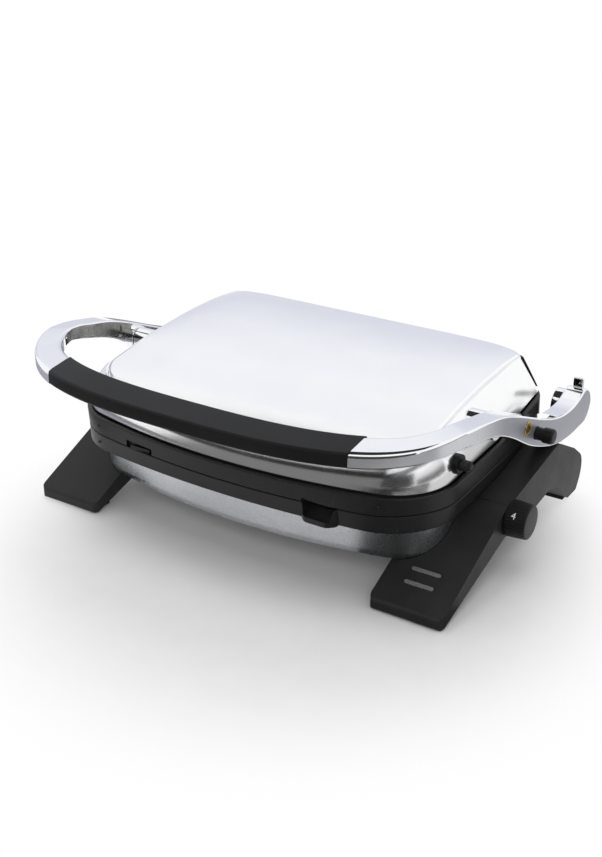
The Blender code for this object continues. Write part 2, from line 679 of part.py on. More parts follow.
def tube(name, points, radius, resolution=1):
    """A wire or tube along points, with filled ends."""
    curve = bpy.data.curves.new(name, "CURVE")
    curve.dimensions = "3D"
    curve.bevel_depth = radius
    curve.bevel_resolution = resolution
    curve.use_fill_caps = True
    spline = curve.splines.new("POLY")
    spline.points.add(len(points) - 1)
    for target, point in zip(spline.points, points):
        target.co = (*point, 1)
    obj = bpy.data.objects.new(name, curve)
    PARTS.objects.link(obj)
    return mesh_from_curve(obj)


def turned(name, profile, place, direction=1, steps=ROUND_SEGMENTS):
    """A turned solid on an X axis: profile holds (radius, distance along X) and closes on the axis."""
    bm = bmesh.new()
    verts = [bm.verts.new((radius, 0, along)) for radius, along in profile]
    for first, second in zip(verts, verts[1:]):
        bm.edges.new((first, second))
    mesh = bpy.data.meshes.new(name)
    bm.to_mesh(mesh)
    bm.free()
    obj = bpy.data.objects.new(name, mesh)
    PARTS.objects.link(obj)
    screw = obj.modifiers.new("turn", "SCREW")
    screw.steps = steps
    screw.render_steps = steps
    screw.use_merge_vertices = True
    screw.merge_threshold = MERGE_DISTANCE
    bpy.context.view_layer.update()
    evaluated = obj.evaluated_get(bpy.context.evaluated_depsgraph_get())
    turned_mesh = bpy.data.meshes.new_from_object(evaluated)
    bm = bmesh.new()
    bm.from_mesh(turned_mesh)
    bmesh.ops.remove_doubles(bm, verts=bm.verts, dist=MERGE_DISTANCE)
    for vert in bm.verts:
        across, up, along = vert.co
        vert.co = (place[0] + direction * along, place[1] + across, place[2] + up)
    bpy.data.objects.remove(obj, do_unlink=True)
    return add_mesh_object(name, bm)


# Outlines

def eased(table, share):
    """Read a smooth curve through a table of (share, value) pairs."""
    xs = [row[0] for row in table]
    ys = [row[1] for row in table]
    share = min(max(share, xs[0]), xs[-1])
    k = max(i for i in range(len(xs) - 1) if xs[i] <= share)
    slopes = []
    for i in (k, k + 1):
        low, high = max(i - 1, 0), min(i + 1, len(xs) - 1)
        slopes.append((ys[high] - ys[low]) / (xs[high] - xs[low]))
    width = xs[k + 1] - xs[k]
    t = (share - xs[k]) / width
    return (ys[k] * (1 + 2 * t) * (1 - t) ** 2 + slopes[0] * width * t * (1 - t) ** 2
            + ys[k + 1] * t * t * (3 - 2 * t) + slopes[1] * width * t * t * (t - 1))


def plan_points(plan, inset=0.0):
    """Plan outline seen from above, anticlockwise from the middle of the bowed front."""
    half = plan.half_width - inset
    front = plan.front + inset
    back = plan.back - inset
    front_radius = max(plan.front_radius - inset, 4 * FUSE_OVERLAP)
    rear_radius = max(plan.rear_radius - inset, 4 * FUSE_OVERLAP)
    right = [((half - front_radius) * i / FRONT_STEPS, front) for i in range(FRONT_STEPS)]
    for i in range(CORNER_STEPS + 1):
        a = math.pi / 2 * i / CORNER_STEPS
        right.append((half - front_radius * (1 - math.sin(a)), front + front_radius * (1 - math.cos(a))))
    side_start = front + front_radius
    side_end = back - rear_radius
    for i in range(1, SIDE_STEPS):
        right.append((half, side_start + (side_end - side_start) * i / SIDE_STEPS))
    for i in range(CORNER_STEPS + 1):
        a = math.pi / 2 * i / CORNER_STEPS
        right.append((half - rear_radius * (1 - math.cos(a)), back - rear_radius * (1 - math.sin(a))))
    for i in range(1, REAR_STEPS + 1):
        right.append(((half - rear_radius) * (1 - i / REAR_STEPS), back))
    shaped = []
    for x, y in right:
        if y > side_start:
            x *= 1 - PLATE_TAPER_SHARE * (y - side_start) / half
        front_share = max(0.0, 1 - (y - front) / (back - front)) ** 2
        y -= plan.bow * (1 - (x / half) ** 2) * (front_share if y > side_start else 1.0)
        shaped.append((x, y))
    left = [(-x, y) for x, y in shaped[-2:0:-1]]
    return shaped + left


def plan_ring(plan, z, inset=0.0):
    """The outline as a ring in space; z is a height or a function of x and y."""
    return [(x, y, z(x, y) if callable(z) else z) for x, y in plan_points(plan, inset)]


def ramp(value, start, end):
    """A smooth rise from nought at the start to one at the end."""
    share = min(max((value - start) / (end - start), 0.0), 1.0)
    return share * share * (3 - 2 * share)


def skin_ring(bottom, crease, across, up):
    """A ring between the lid's bottom edge and its crease: bulging at front and sides, flat at the rear."""
    ring = []
    for a, b in zip(bottom, crease):
        depth = across + (up - across) * ramp(a[1], LID_REAR_FLAT_START_Y, LID_REAR_FLAT_END_Y)
        ring.append((a[0] + (b[0] - a[0]) * across, a[1] + (b[1] - a[1]) * depth, a[2] + (b[2] - a[2]) * up))
    return ring


def rounded(corners, steps=LEG_ARC_STEPS):
    """Turn corner points with radii (across, up, radius) into an outline with true arcs."""
    outline = []
    count = len(corners)
    for i, (x, y, radius) in enumerate(corners):
        before, after = corners[i - 1], corners[(i + 1) % count]
        arms = []
        for other in (before, after):
            dx, dy = other[0] - x, other[1] - y
            length = math.hypot(dx, dy)
            arms.append((dx / length, dy / length, length))
        cosine = max(-1.0, min(1.0, arms[0][0] * arms[1][0] + arms[0][1] * arms[1][1]))
        half_angle = math.acos(cosine) / 2
        reach = radius / math.tan(half_angle)
        longest = min(arms[0][2], arms[1][2]) / 2
        if reach > longest:
            reach = longest
            radius = reach * math.tan(half_angle)
        if radius <= 0 or half_angle > math.pi / 2 * 0.995:
            outline.append((x, y))
            continue
        bisector = (arms[0][0] + arms[1][0], arms[0][1] + arms[1][1])
        scale = radius / math.sin(half_angle) / math.hypot(*bisector)
        centre = (x + bisector[0] * scale, y + bisector[1] * scale)
        start = math.atan2(y + arms[0][1] * reach - centre[1], x + arms[0][0] * reach - centre[0])
        end = math.atan2(y + arms[1][1] * reach - centre[1], x + arms[1][0] * reach - centre[0])
        sweep = (end - start + math.pi) % (2 * math.pi) - math.pi
        for k in range(steps + 1):
            a = start + sweep * k / steps
            outline.append((centre[0] + radius * math.cos(a), centre[1] + radius * math.sin(a)))
    return outline


def arc(centre, radius, start, end, steps):
    turns = [start + (end - start) * i / steps for i in range(steps + 1)]
    return [(centre[0] + radius * math.cos(a), centre[1] + radius * math.sin(a)) for a in turns]


# Lid surfaces

def rear_lift(y):
    """The rim of the upper casting, and the lid on it, rise towards the hinge."""
    return LID_REAR_LIFT * ramp(y, LID_REAR_LIFT_START_Y, LID_BACK_Y)


def rim_top(x, y):
    return UPPER_RIM_TOP_Z + rear_lift(y)


def lid_bottom(x, y):
    return LID_BOTTOM_Z + rear_lift(y)


def lid_arch(x, y):
    """Height of the lid's crease, which climbs from the front and falls a little at the rear."""
    front = CREASE_FRONT_Y - CREASE_FRONT_BOW
    share = (y - front) / (CREASE_BACK_Y - front)
    return LID_BOTTOM_Z + LID_HEIGHT * eased(LID_ARCH_SHARES, share)


def lid_top(x, y):
    across = min(abs(x) / CREASE_HALF_WIDTH, 1.0)
    crown = LID_CROWN * ramp(y, LID_CROWN_START_Y, LID_CROWN_END_Y)
    return lid_arch(x, y) + crown * (1 - across ** LID_CROWN_POWER)


def lid_rings(offset=0.0):
    """Rings of the lid's skin from its bottom edge over the crease to the middle of its top."""
    bottom = plan_ring(LID_PLAN, lid_bottom, -offset)
    crease = [(x, y, z + offset) for x, y, z in plan_ring(CREASE_PLAN, lid_top, -offset)]
    sweep = math.radians(LID_SIDE_SWEEP_DEGREES)
    rings = []
    for i in range(LID_SIDE_STEPS):
        a = sweep * i / LID_SIDE_STEPS
        rings.append(skin_ring(bottom, crease, (1 - math.cos(a)) / (1 - math.cos(sweep)),
                               math.sin(a) / math.sin(sweep)))
    rings.append([(x, y, z - CREASE_ROLL) for x, y, z in crease])
    inner = plan_points(CREASE_PLAN, CREASE_FILLET - offset)
    rings.append([(x, y, lid_top(x, y) + offset) for x, y in inner])
    middle_y = (CREASE_FRONT_Y + CREASE_BACK_Y) / 2
    for scale in LID_TOP_SCALE_SHARES:
        ring = [(x * scale, middle_y + (y - middle_y) * scale) for x, y in inner]
        rings.append([(x, y, lid_top(x, y) + offset) for x, y in ring])
    return rings


# Handle surfaces

def corner_power(a, wave):
    """One leg of the superellipse that the handle follows round its front corners."""
    value = wave(a)
    return math.copysign(abs(value) ** (2 / HANDLE_CURVE_POWER), value)


def handle_outer(a):
    depth = HANDLE_SHOULDER_Y - HANDLE_FRONT_Y
    return LEG_OUTER_X * corner_power(a, math.sin), HANDLE_SHOULDER_Y - depth * corner_power(a, math.cos)


def handle_inner(a):
    depth = HANDLE_SHOULDER_Y - HANDLE_INNER_FRONT_Y
    return ARM_INNER_X * corner_power(a, math.sin), HANDLE_SHOULDER_Y - depth * corner_power(a, math.cos)


def handle_angle(x, half):
    """The curve parameter at which an edge of the handle stands at a distance from the middle."""
    return math.asin((abs(x) / half) ** (HANDLE_CURVE_POWER / 2))


def handle_crossing(x):
    """Where a plane square to the grip meets the handle's outer and inner edge."""
    outer = handle_outer(math.copysign(handle_angle(x, LEG_OUTER_X), x))
    inner = handle_inner(math.copysign(handle_angle(x, ARM_INNER_X), x))
    return outer, inner


def handle_section(outer, inner, bottom, outer_top, inner_top, radius, lower_radius):
    """A rounded four-sided section standing between the handle's outer and inner edge."""
    width = math.hypot(inner[0] - outer[0], inner[1] - outer[1])
    flat = rounded([(0, bottom, lower_radius), (width, bottom, lower_radius), (width, inner_top, radius),
                    (0, outer_top, radius)], SECTION_STEPS)
    return [(outer[0] + (inner[0] - outer[0]) * u / width, outer[1] + (inner[1] - outer[1]) * u / width, z)
            for u, z in flat]


def arm_top(y):
    return ARM_SHOULDER_TOP_Z - ARM_RISE * eased(ARM_DROP_SHARES, (y - ARM_SHOULDER_Y) / ARM_REACH)


def arm_bottom(y):
    return arm_top(y) - ARM_DEPTH * eased(ARM_DEPTH_SHARES, (y - ARM_SHOULDER_Y) / ARM_REACH)


def arm_rings():
    """Sections of the right arm from its joint with the grip round the corner to its tail."""
    rings = []
    start_x = GRIP_HALF_LENGTH + FIT_GAP
    joint_y = sum(point[1] for point in handle_crossing(start_x)) / 2
    starts = handle_angle(start_x, LEG_OUTER_X), handle_angle(start_x, ARM_INNER_X)
    for i in range(ARM_CORNER_STATIONS + 1):
        angles = [start + (math.pi / 2 - start) * i / ARM_CORNER_STATIONS for start in starts]
        outer, inner = handle_outer(angles[0]), handle_inner(angles[1])
        middle = (outer[1] + inner[1]) / 2
        share = min((middle - joint_y) / (ARM_SHOULDER_Y - joint_y), 1.0)
        share = share * share * (3 - 2 * share)
        radius = ARM_SHOULDER_RADIUS + (ARM_EDGE_RADIUS - ARM_SHOULDER_RADIUS) * share
        if share < 1.0:
            outer_top = GRIP_FRONT_TOP_Z + (ARM_SHOULDER_TOP_Z - GRIP_FRONT_TOP_Z) * share
            inner_top = GRIP_BACK_TOP_Z + (ARM_SHOULDER_TOP_Z - GRIP_BACK_TOP_Z) * share
            bottom = GRIP_BOTTOM_Z + (ARM_SHOULDER_BOTTOM_Z - GRIP_BOTTOM_Z) * share
        else:
            outer_top = inner_top = arm_top(middle)
            bottom = arm_bottom(middle)
        rings.append(handle_section(outer, inner, bottom, outer_top, inner_top, radius, ARM_EDGE_RADIUS))
    for i in range(1, ARM_STATIONS + 1):
        y = HANDLE_SHOULDER_Y + (HINGE_Y - HANDLE_SHOULDER_Y) * i / ARM_STATIONS
        rings.append(handle_section((LEG_OUTER_X, y), (ARM_INNER_X, y), arm_bottom(y), arm_top(y), arm_top(y),
                                    ARM_EDGE_RADIUS, ARM_EDGE_RADIUS))
    for i in range(1, TAIL_STATIONS + 1):
        a = math.pi / 2 * i / TAIL_STATIONS
        y = HINGE_Y + (TAIL_END_Y - HINGE_Y) * math.sin(a)
        half = max(TAIL_RADIUS * math.cos(a), 2 * ARM_EDGE_RADIUS)
        rings.append(handle_section((LEG_OUTER_X, y), (ARM_INNER_X, y), HINGE_Z - half, HINGE_Z + half,
                                    HINGE_Z + half, ARM_EDGE_RADIUS, ARM_EDGE_RADIUS))
    return rings


def grip_rings():
    rings = []
    for i in range(GRIP_STATIONS):
        outer, inner = handle_crossing(GRIP_HALF_LENGTH * (2 * i / (GRIP_STATIONS - 1) - 1))
        rings.append(handle_section(outer, inner, GRIP_BOTTOM_Z, GRIP_FRONT_TOP_Z, GRIP_BACK_TOP_Z,
                                    GRIP_EDGE_RADIUS, GRIP_EDGE_RADIUS))
    return rings


def tie_points(reach):
    """The middle line of the grip, run on into both arms."""
    z = (GRIP_BOTTOM_Z + (GRIP_FRONT_TOP_Z + GRIP_BACK_TOP_Z) / 2) / 2
    points = []
    for i in range(GRIP_STATIONS):
        outer, inner = handle_crossing(reach * (2 * i / (GRIP_STATIONS - 1) - 1))
        points.append(((outer[0] + inner[0]) / 2, (outer[1] + inner[1]) / 2, z))
    return points


def mirrored(points):
    return [(-x, y, z) for x, y, z in points]


def side_block(name, side, low, high, edge=0.0):
    """A block given for the right side, built there or mirrored to the left."""
    if side > 0:
        return block(name, low, high, edge)
    return block(name, (-high[0], low[1], low[2]), (-low[0], high[1], high[2]), edge)


def side_slab(name, side, outline, low, high):
    return slab(name, outline, X_AXIS, *((low, high) if side > 0 else (-high, -low)))


def side_rod(name, side, place, low, high, radius, segments=SMALL_SEGMENTS):
    low, high = (low, high) if side > 0 else (-high, -low)
    return rod(name, "X", place, low, high, radius, segments=segments)


def screw_seat_x(y):
    """Where the head of a leg screw bears on the inner face of the housing's side."""
    plan = SHELL_CREASE_PLAN
    return plan.half_width - PLATE_TAPER_SHARE * (y - plan.front - plan.front_radius) - SHELL_WALL - FIT_GAP


SIDES = (("right", 1), ("left", -1))


# Shared cutters

def shell_envelope(name):
    """The housing and plate rim grown by the clearance, which the legs are shaped round."""
    gap = -FIT_GAP
    rings = [plan_ring(SHELL_BOTTOM_PLAN, SHELL_BOTTOM_Z - FIT_GAP, gap),
             plan_ring(SHELL_CREASE_PLAN, SHELL_CREASE_Z, gap),
             plan_ring(SHELL_TOP_PLAN, SHELL_TOP_Z - FIT_GAP, gap),
             plan_ring(LOWER_RIM_PLAN, LOWER_RIM_BOTTOM_Z - FIT_GAP, gap),
             plan_ring(SPLIT_PLAN, SPLIT_Z + CUT_OVERRUN, gap)]
    return loft(name, rings)


def lid_envelope(name):
    return loft(name, lid_rings(FIT_GAP))


PIVOT_BORE = rod("pivot_bore", "X", (PIVOT_Y, PIVOT_Z), -(ARM_INNER_X + PIVOT_PIN_REACH + BORE_END_GAP),
                 ARM_INNER_X + PIVOT_PIN_REACH + BORE_END_GAP, PIVOT_PIN_RADIUS + FIT_GAP)
HINGE_BORE = rod("hinge_bore", "X", (HINGE_Y, HINGE_Z), -(ARM_INNER_X + HINGE_PIN_REACH + BORE_END_GAP),
                 ARM_INNER_X + HINGE_PIN_REACH + BORE_END_GAP, HINGE_PIN_RADIUS + FIT_GAP)
TIE_BORE = tube("tie_bore", tie_points(GRIP_HALF_LENGTH + TIE_SOCKET_DEPTH + BORE_END_GAP),
                TIE_RADIUS + FIT_GAP)
SHAFT_BORE = rod("shaft_bore", "X", (KNOB_Y, KNOB_Z), SPINDLE_END_X, LEG_OUTER_X + CUT_OVERRUN,
                 SHAFT_RADIUS + FIT_GAP)
SHELL_ENVELOPE = shell_envelope("shell_envelope")
LID_ENVELOPE = lid_envelope("lid_envelope")
LEG_SCREW_BORES = []
for side_name, side in SIDES:
    for row, screw_y, screw_z in LEG_SCREW_PLACES:
        seat_x = screw_seat_x(screw_y)
        bore = side_rod("screw_bore_" + row + "_" + side_name, side, (screw_y, screw_z), seat_x - CUT_OVERRUN,
                        seat_x + SCREW_LENGTH + BORE_END_GAP, SCREW_RADIUS + FIT_GAP)
        LEG_SCREW_BORES.append((side, bore))
for tool in (PIVOT_BORE, HINGE_BORE, TIE_BORE, SHAFT_BORE, SHELL_ENVELOPE, LID_ENVELOPE,
             *(bore for _, bore in LEG_SCREW_BORES)):
    as_tool(tool)


# Base: housing, floor, legs and pads

def build_shell():
    top, crease, bottom = SHELL_TOP_PLAN, SHELL_CREASE_PLAN, SHELL_BOTTOM_PLAN
    inside = SHELL_BOTTOM_Z + SHELL_WALL
    rings = [plan_ring(top, SHELL_TOP_Z), plan_ring(crease, SHELL_CREASE_Z),
             plan_ring(bottom, SHELL_BOTTOM_Z),
             plan_ring(bottom, SHELL_BOTTOM_Z, SHELL_BOTTOM_FLANGE),
             plan_ring(bottom, inside, SHELL_BOTTOM_FLANGE), plan_ring(bottom, inside, SHELL_WALL),
             plan_ring(crease, SHELL_CREASE_Z, SHELL_WALL),
             plan_ring(top, SHELL_TOP_Z - SHELL_WALL, SHELL_WALL),
             plan_ring(top, SHELL_TOP_Z - SHELL_WALL, SHELL_TOP_FLANGE),
             plan_ring(top, SHELL_TOP_Z, SHELL_TOP_FLANGE)]
    shell = loft("base_shell", rings, wrap=True)
    cut(shell, SHAFT_BORE)
    cut(shell, rod("gland_hole", "Y", (GLAND_X, GLAND_Z), GLAND_FLANGE_Y - GLAND_LENGTH,
                   GLAND_FLANGE_Y + CUT_OVERRUN, GLAND_RADIUS + FIT_GAP))
    for _, bore in LEG_SCREW_BORES:
        cut(shell, bore)
    seat(shell, "steel")


def build_floor():
    low = plan_ring(SHELL_BOTTOM_PLAN, FLOOR_Z, FLOOR_INSET)
    floor = loft("base_floor", [low, [(x, y, FLOOR_TOP_Z) for x, y, z in low]])
    for i in range(VENT_COUNT):
        x = (i - (VENT_COUNT - 1) / 2) * VENT_PITCH
        cut(floor, block("vent_slot_" + str(i), (x - VENT_WIDTH / 2, VENT_Y - VENT_LENGTH / 2,
                                                FLOOR_Z - CUT_OVERRUN),
                         (x + VENT_WIDTH / 2, VENT_Y + VENT_LENGTH / 2, FLOOR_TOP_Z + CUT_OVERRUN)))
    seat(floor, "zinc")


def sole_z(y):
    return LEG_TOE_CLEARANCE + SOLE_SLOPE * y


def leg_outline():
    corners = [(0, LEG_TOE_CLEARANCE, LEG_SMALL_RADIUS), (0, LEG_TOE_HEIGHT, LEG_SMALL_RADIUS),
               (LEG_KNEE_Y, LEG_KNEE_Z, LEG_CORNER_RADIUS)]
    for y_share, z_share in LEG_TOP_SHARES:
        corners.append((LEG_LENGTH * y_share, LEG_HEIGHT * z_share, LEG_TAIL_RADIUS))
    for y_share, z_share in LEG_TAIL_SHARES:
        corners.append((LEG_LENGTH * y_share, LEG_HEIGHT * z_share, LEG_TAIL_RADIUS))
    for y_share, z_share in LEG_FOOT_SHARES:
        corners.append((LEG_LENGTH * y_share, LEG_HEIGHT * z_share, LEG_SMALL_RADIUS))
    for y_share, z_share in LEG_ARCH_SHARES:
        corners.append((LEG_LENGTH * y_share, LEG_HEIGHT * z_share, LEG_CORNER_RADIUS))
    corners.append((LEG_SOLE_END_Y, LEG_SOLE_END_Z, LEG_CORNER_RADIUS))
    return rounded(corners)


def slope_frame(y):
    """A point on the right foot's top, with the directions along its slope and out of it."""
    length = math.hypot(1, FOOT_SLOPE)
    along = (1 / length, FOOT_SLOPE / length)
    return (y, LEG_TOE_HEIGHT + FOOT_SLOPE * y), along, (-along[1], along[0])


def slope_box(y, half, low, high):
    """The side outline of a box lying square to the foot's top."""
    place, along, out = slope_frame(y)
    return [(place[0] + along[0] * a + out[0] * b, place[1] + along[1] * a + out[1] * b)
            for a, b in ((-half, low), (half, low), (half, high), (-half, high))]


LENSES = (("indicator_lens_power", "lamp_power", LENS_FIRST_Y),
          ("indicator_lens_ready", "lamp_ready", LENS_FIRST_Y + LENS_SPACING))
LENS_LOW_X = LENS_X - LENS_WIDTH / 2
LENS_HIGH_X = LENS_X + LENS_WIDTH / 2


def build_leg(side_name, side):
    leg = side_slab("leg_" + side_name, side, leg_outline(), LEG_INNER_X, LEG_OUTER_X)
    bevel(leg, LEG_EDGE_BEVEL)
    cut(leg, SHELL_ENVELOPE)
    cut(leg, side_block("under_housing_" + side_name, side,
                        (LEG_INNER_X - CUT_OVERRUN, LEG_UNDERLAP_END_Y, LEG_TOE_CLEARANCE),
                        (SHELL_BOTTOM_HALF_WIDTH, LEG_LENGTH, SHELL_BOTTOM_Z)))
    cut(leg, side_block("bracket_slot_" + side_name, side,
                        (HINGE_DRUM_INNER_X - FIT_GAP, HINGE_Y - HINGE_POST_HALF_DEPTH - FIT_GAP,
                         HINGE_POST_FOOT_Z - FIT_GAP),
                        (ARM_INNER_X, LEG_LENGTH + CUT_OVERRUN, LEG_HEIGHT + CUT_OVERRUN)))
    for bore_side, bore in LEG_SCREW_BORES:
        if bore_side == side:
            cut(leg, bore)
    if side > 0:
        cut(leg, SHAFT_BORE)
        for lens, _, y in LENSES:
            slot = slope_box(y, LENS_DEPTH / 2 + FIT_GAP, -(LENS_THICKNESS + 2 * LAMP_RADIUS + 3 * FIT_GAP),
                             CUT_OVERRUN)
            cut(leg, slab(lens + "_slot", slot, X_AXIS, LENS_LOW_X - FIT_GAP, LENS_HIGH_X + FIT_GAP))
    seat(leg, "black_plastic")


def build_lenses():
    for lens_name, lamp_name, y in LENSES:
        seat(slab(lens_name, slope_box(y, LENS_DEPTH / 2, -LENS_THICKNESS, LENS_PROUD), X_AXIS, LENS_LOW_X,
                  LENS_HIGH_X), "lens")
        place, _, out = slope_frame(y)
        drop = LENS_THICKNESS + LAMP_RADIUS + FIT_GAP
        centre = (place[0] - out[0] * drop, place[1] - out[1] * drop)
        seat(rod(lamp_name, "X", centre, LENS_X - LAMP_LENGTH / 2, LENS_X + LAMP_LENGTH / 2, LAMP_RADIUS,
                 segments=12), "lens")


def build_pads():
    for side_name, side in SIDES:
        low_x, high_x = LEG_INNER_X + PAD_SIDE_MARGIN, LEG_OUTER_X - PAD_SIDE_MARGIN
        front_end = FRONT_PAD_START_Y + FRONT_PAD_LENGTH
        wedge = [(FRONT_PAD_START_Y, 0), (front_end, 0), (front_end, sole_z(front_end) - FIT_GAP),
                 (FRONT_PAD_START_Y, sole_z(FRONT_PAD_START_Y) - FIT_GAP)]
        seat(side_slab("rubber_pad_front_" + side_name, side, wedge, low_x, high_x), "rubber")
        foot_z = LEG_HEIGHT * LEG_FOOT_SHARES[0][1]
        seat(side_block("rubber_pad_rear_" + side_name, side, (low_x, REAR_PAD_START_Y, 0),
                        (high_x, REAR_PAD_START_Y + REAR_PAD_LENGTH, foot_z - FIT_GAP), LEG_EDGE_BEVEL / 2),
             "rubber")


def build_leg_screws():
    for side_name, side in SIDES:
        for row, y, z in LEG_SCREW_PLACES:
            seat_x = screw_seat_x(y)
            tip_x = seat_x + SCREW_LENGTH
            profile = [(0, seat_x - SCREW_HEAD_LENGTH), (SCREW_HEAD_RADIUS, seat_x - SCREW_HEAD_LENGTH),
                       (SCREW_HEAD_RADIUS, seat_x), (SCREW_RADIUS, seat_x), (SCREW_RADIUS, tip_x), (0, tip_x)]
            seat(turned("leg_screw_" + row + "_" + side_name, profile, (0, y, z), side, 12), "zinc")


# Cooking plates

def rib_comb(name, face_z, rise):
    """A comb of tapered ribs standing on a cooking face, up for a positive rise and down for a negative."""
    root = face_z - math.copysign(FUSE_OVERLAP, rise)
    half = PLATE_HALF_WIDTH
    outline = [(-half, root - math.copysign(FUSE_OVERLAP, rise)), (-half, root)]
    for i in range(RIB_COUNT):
        x = (i - (RIB_COUNT - 1) / 2) * RIB_PITCH
        outline += [(x - RIB_FOOT_WIDTH / 2, root), (x - RIB_TOP_WIDTH / 2, face_z + rise),
                    (x + RIB_TOP_WIDTH / 2, face_z + rise), (x + RIB_FOOT_WIDTH / 2, root)]
    outline += [(half, root), (half, root - math.copysign(FUSE_OVERLAP, rise))]
    comb = slab(name, outline, Y_AXIS, PLATE_FRONT_Y - PLATE_FRONT_BOW, PLATE_BACK_Y)
    prism = loft(name + "_field", [plan_ring(SPLIT_PLAN, face_z - LOWER_RIM_HEIGHT, RIB_INSET),
                                   plan_ring(SPLIT_PLAN, face_z + LOWER_RIM_HEIGHT, RIB_INSET)])
    combine(comb, prism, "INTERSECT")
    return comb


def split_front_y(x):
    """The plate rim's front line at a distance from the middle."""
    return PLATE_FRONT_Y - PLATE_FRONT_BOW * (1 - (x / PLATE_HALF_WIDTH) ** 2)


def build_lower_plate():
    channel = SPLIT_Z - LOWER_CHANNEL_DEPTH
    face = SPLIT_Z - COOKING_FACE_DEPTH
    foot = PLATE_FOOT_INSET + PLATE_FOOT_WIDTH
    rings = [plan_ring(SHELL_TOP_PLAN, LOWER_PLATE_BACK_Z, foot),
             plan_ring(SHELL_TOP_PLAN, LOWER_RIM_BOTTOM_Z, foot),
             plan_ring(SHELL_TOP_PLAN, LOWER_RIM_BOTTOM_Z, PLATE_FOOT_INSET),
             plan_ring(SHELL_TOP_PLAN, LOWER_PLATE_BACK_Z, PLATE_FOOT_INSET),
             plan_ring(LOWER_RIM_PLAN, LOWER_PLATE_BACK_Z, SKIRT_WALL + SKIRT_DRAFT),
             plan_ring(LOWER_RIM_PLAN, LOWER_RIM_BOTTOM_Z, SKIRT_WALL),
             plan_ring(LOWER_RIM_PLAN, LOWER_RIM_BOTTOM_Z, RIM_EDGE),
             plan_ring(LOWER_RIM_PLAN, LOWER_RIM_BOTTOM_Z + RIM_EDGE),
             plan_ring(SPLIT_PLAN, SPLIT_Z - RIM_EDGE), plan_ring(SPLIT_PLAN, SPLIT_Z, RIM_EDGE),
             plan_ring(SPLIT_PLAN, SPLIT_Z, RIM_LAND), plan_ring(SPLIT_PLAN, channel, RIM_WALL_INSET),
             plan_ring(SPLIT_PLAN, channel, DRIP_CHANNEL_INSET), plan_ring(SPLIT_PLAN, face, COOKING_INSET)]
    plate = loft("lower_plate", rings)
    join(plate, rib_comb("lower_ribs", face, RIB_HEIGHT))
    front = split_front_y(SPOUT_X)
    half = SPOUT_WIDTH / 2
    nose = half * SPOUT_NOSE_SHARE
    lip = rounded([(SPOUT_X - half, front + SPOUT_ROOT, 0), (SPOUT_X - half, front + RIM_EDGE, 0),
                   (SPOUT_X - nose, front - SPOUT_REACH, SPOUT_NOSE_RADIUS),
                   (SPOUT_X + nose, front - SPOUT_REACH, SPOUT_NOSE_RADIUS),
                   (SPOUT_X + half, front + RIM_EDGE, 0), (SPOUT_X + half, front + SPOUT_ROOT, 0)])
    join(plate, slab("spout_body", lip, Z_AXIS, LOWER_RIM_BOTTOM_Z, SPLIT_Z - RIM_EDGE / 2))
    floor_z = SPLIT_Z - SPOUT_FLOOR_DROP
    lip_z = SPLIT_Z - SPOUT_LIP_DROP
    wall_y = front - SPOUT_REACH + SPOUT_WALL
    gutter_end = front + SPOUT_ROOT + FUSE_OVERLAP
    gutter = [(front - SPOUT_REACH - CUT_OVERRUN, lip_z), (wall_y, lip_z), (wall_y, floor_z),
              (front + SPOUT_WALL, floor_z + SPOUT_WALL / 2), (gutter_end, channel + FIT_GAP),
              (gutter_end, SPLIT_Z + CUT_OVERRUN), (front - SPOUT_REACH - CUT_OVERRUN, SPLIT_Z + CUT_OVERRUN)]
    cut(plate, slab("spout_gutter", gutter, X_AXIS, SPOUT_X - half + SPOUT_WALL, SPOUT_X + half - SPOUT_WALL))
    front = split_front_y(NOTCH_X)
    join(plate, block("notch_tongue", (NOTCH_X - TONGUE_WIDTH / 2, front + RIM_EDGE, SPLIT_Z - FUSE_OVERLAP),
                      (NOTCH_X + TONGUE_WIDTH / 2, front + RIM_EDGE + TONGUE_THICKNESS,
                       SPLIT_Z + TONGUE_HEIGHT)))
    seat(plate, "cast")


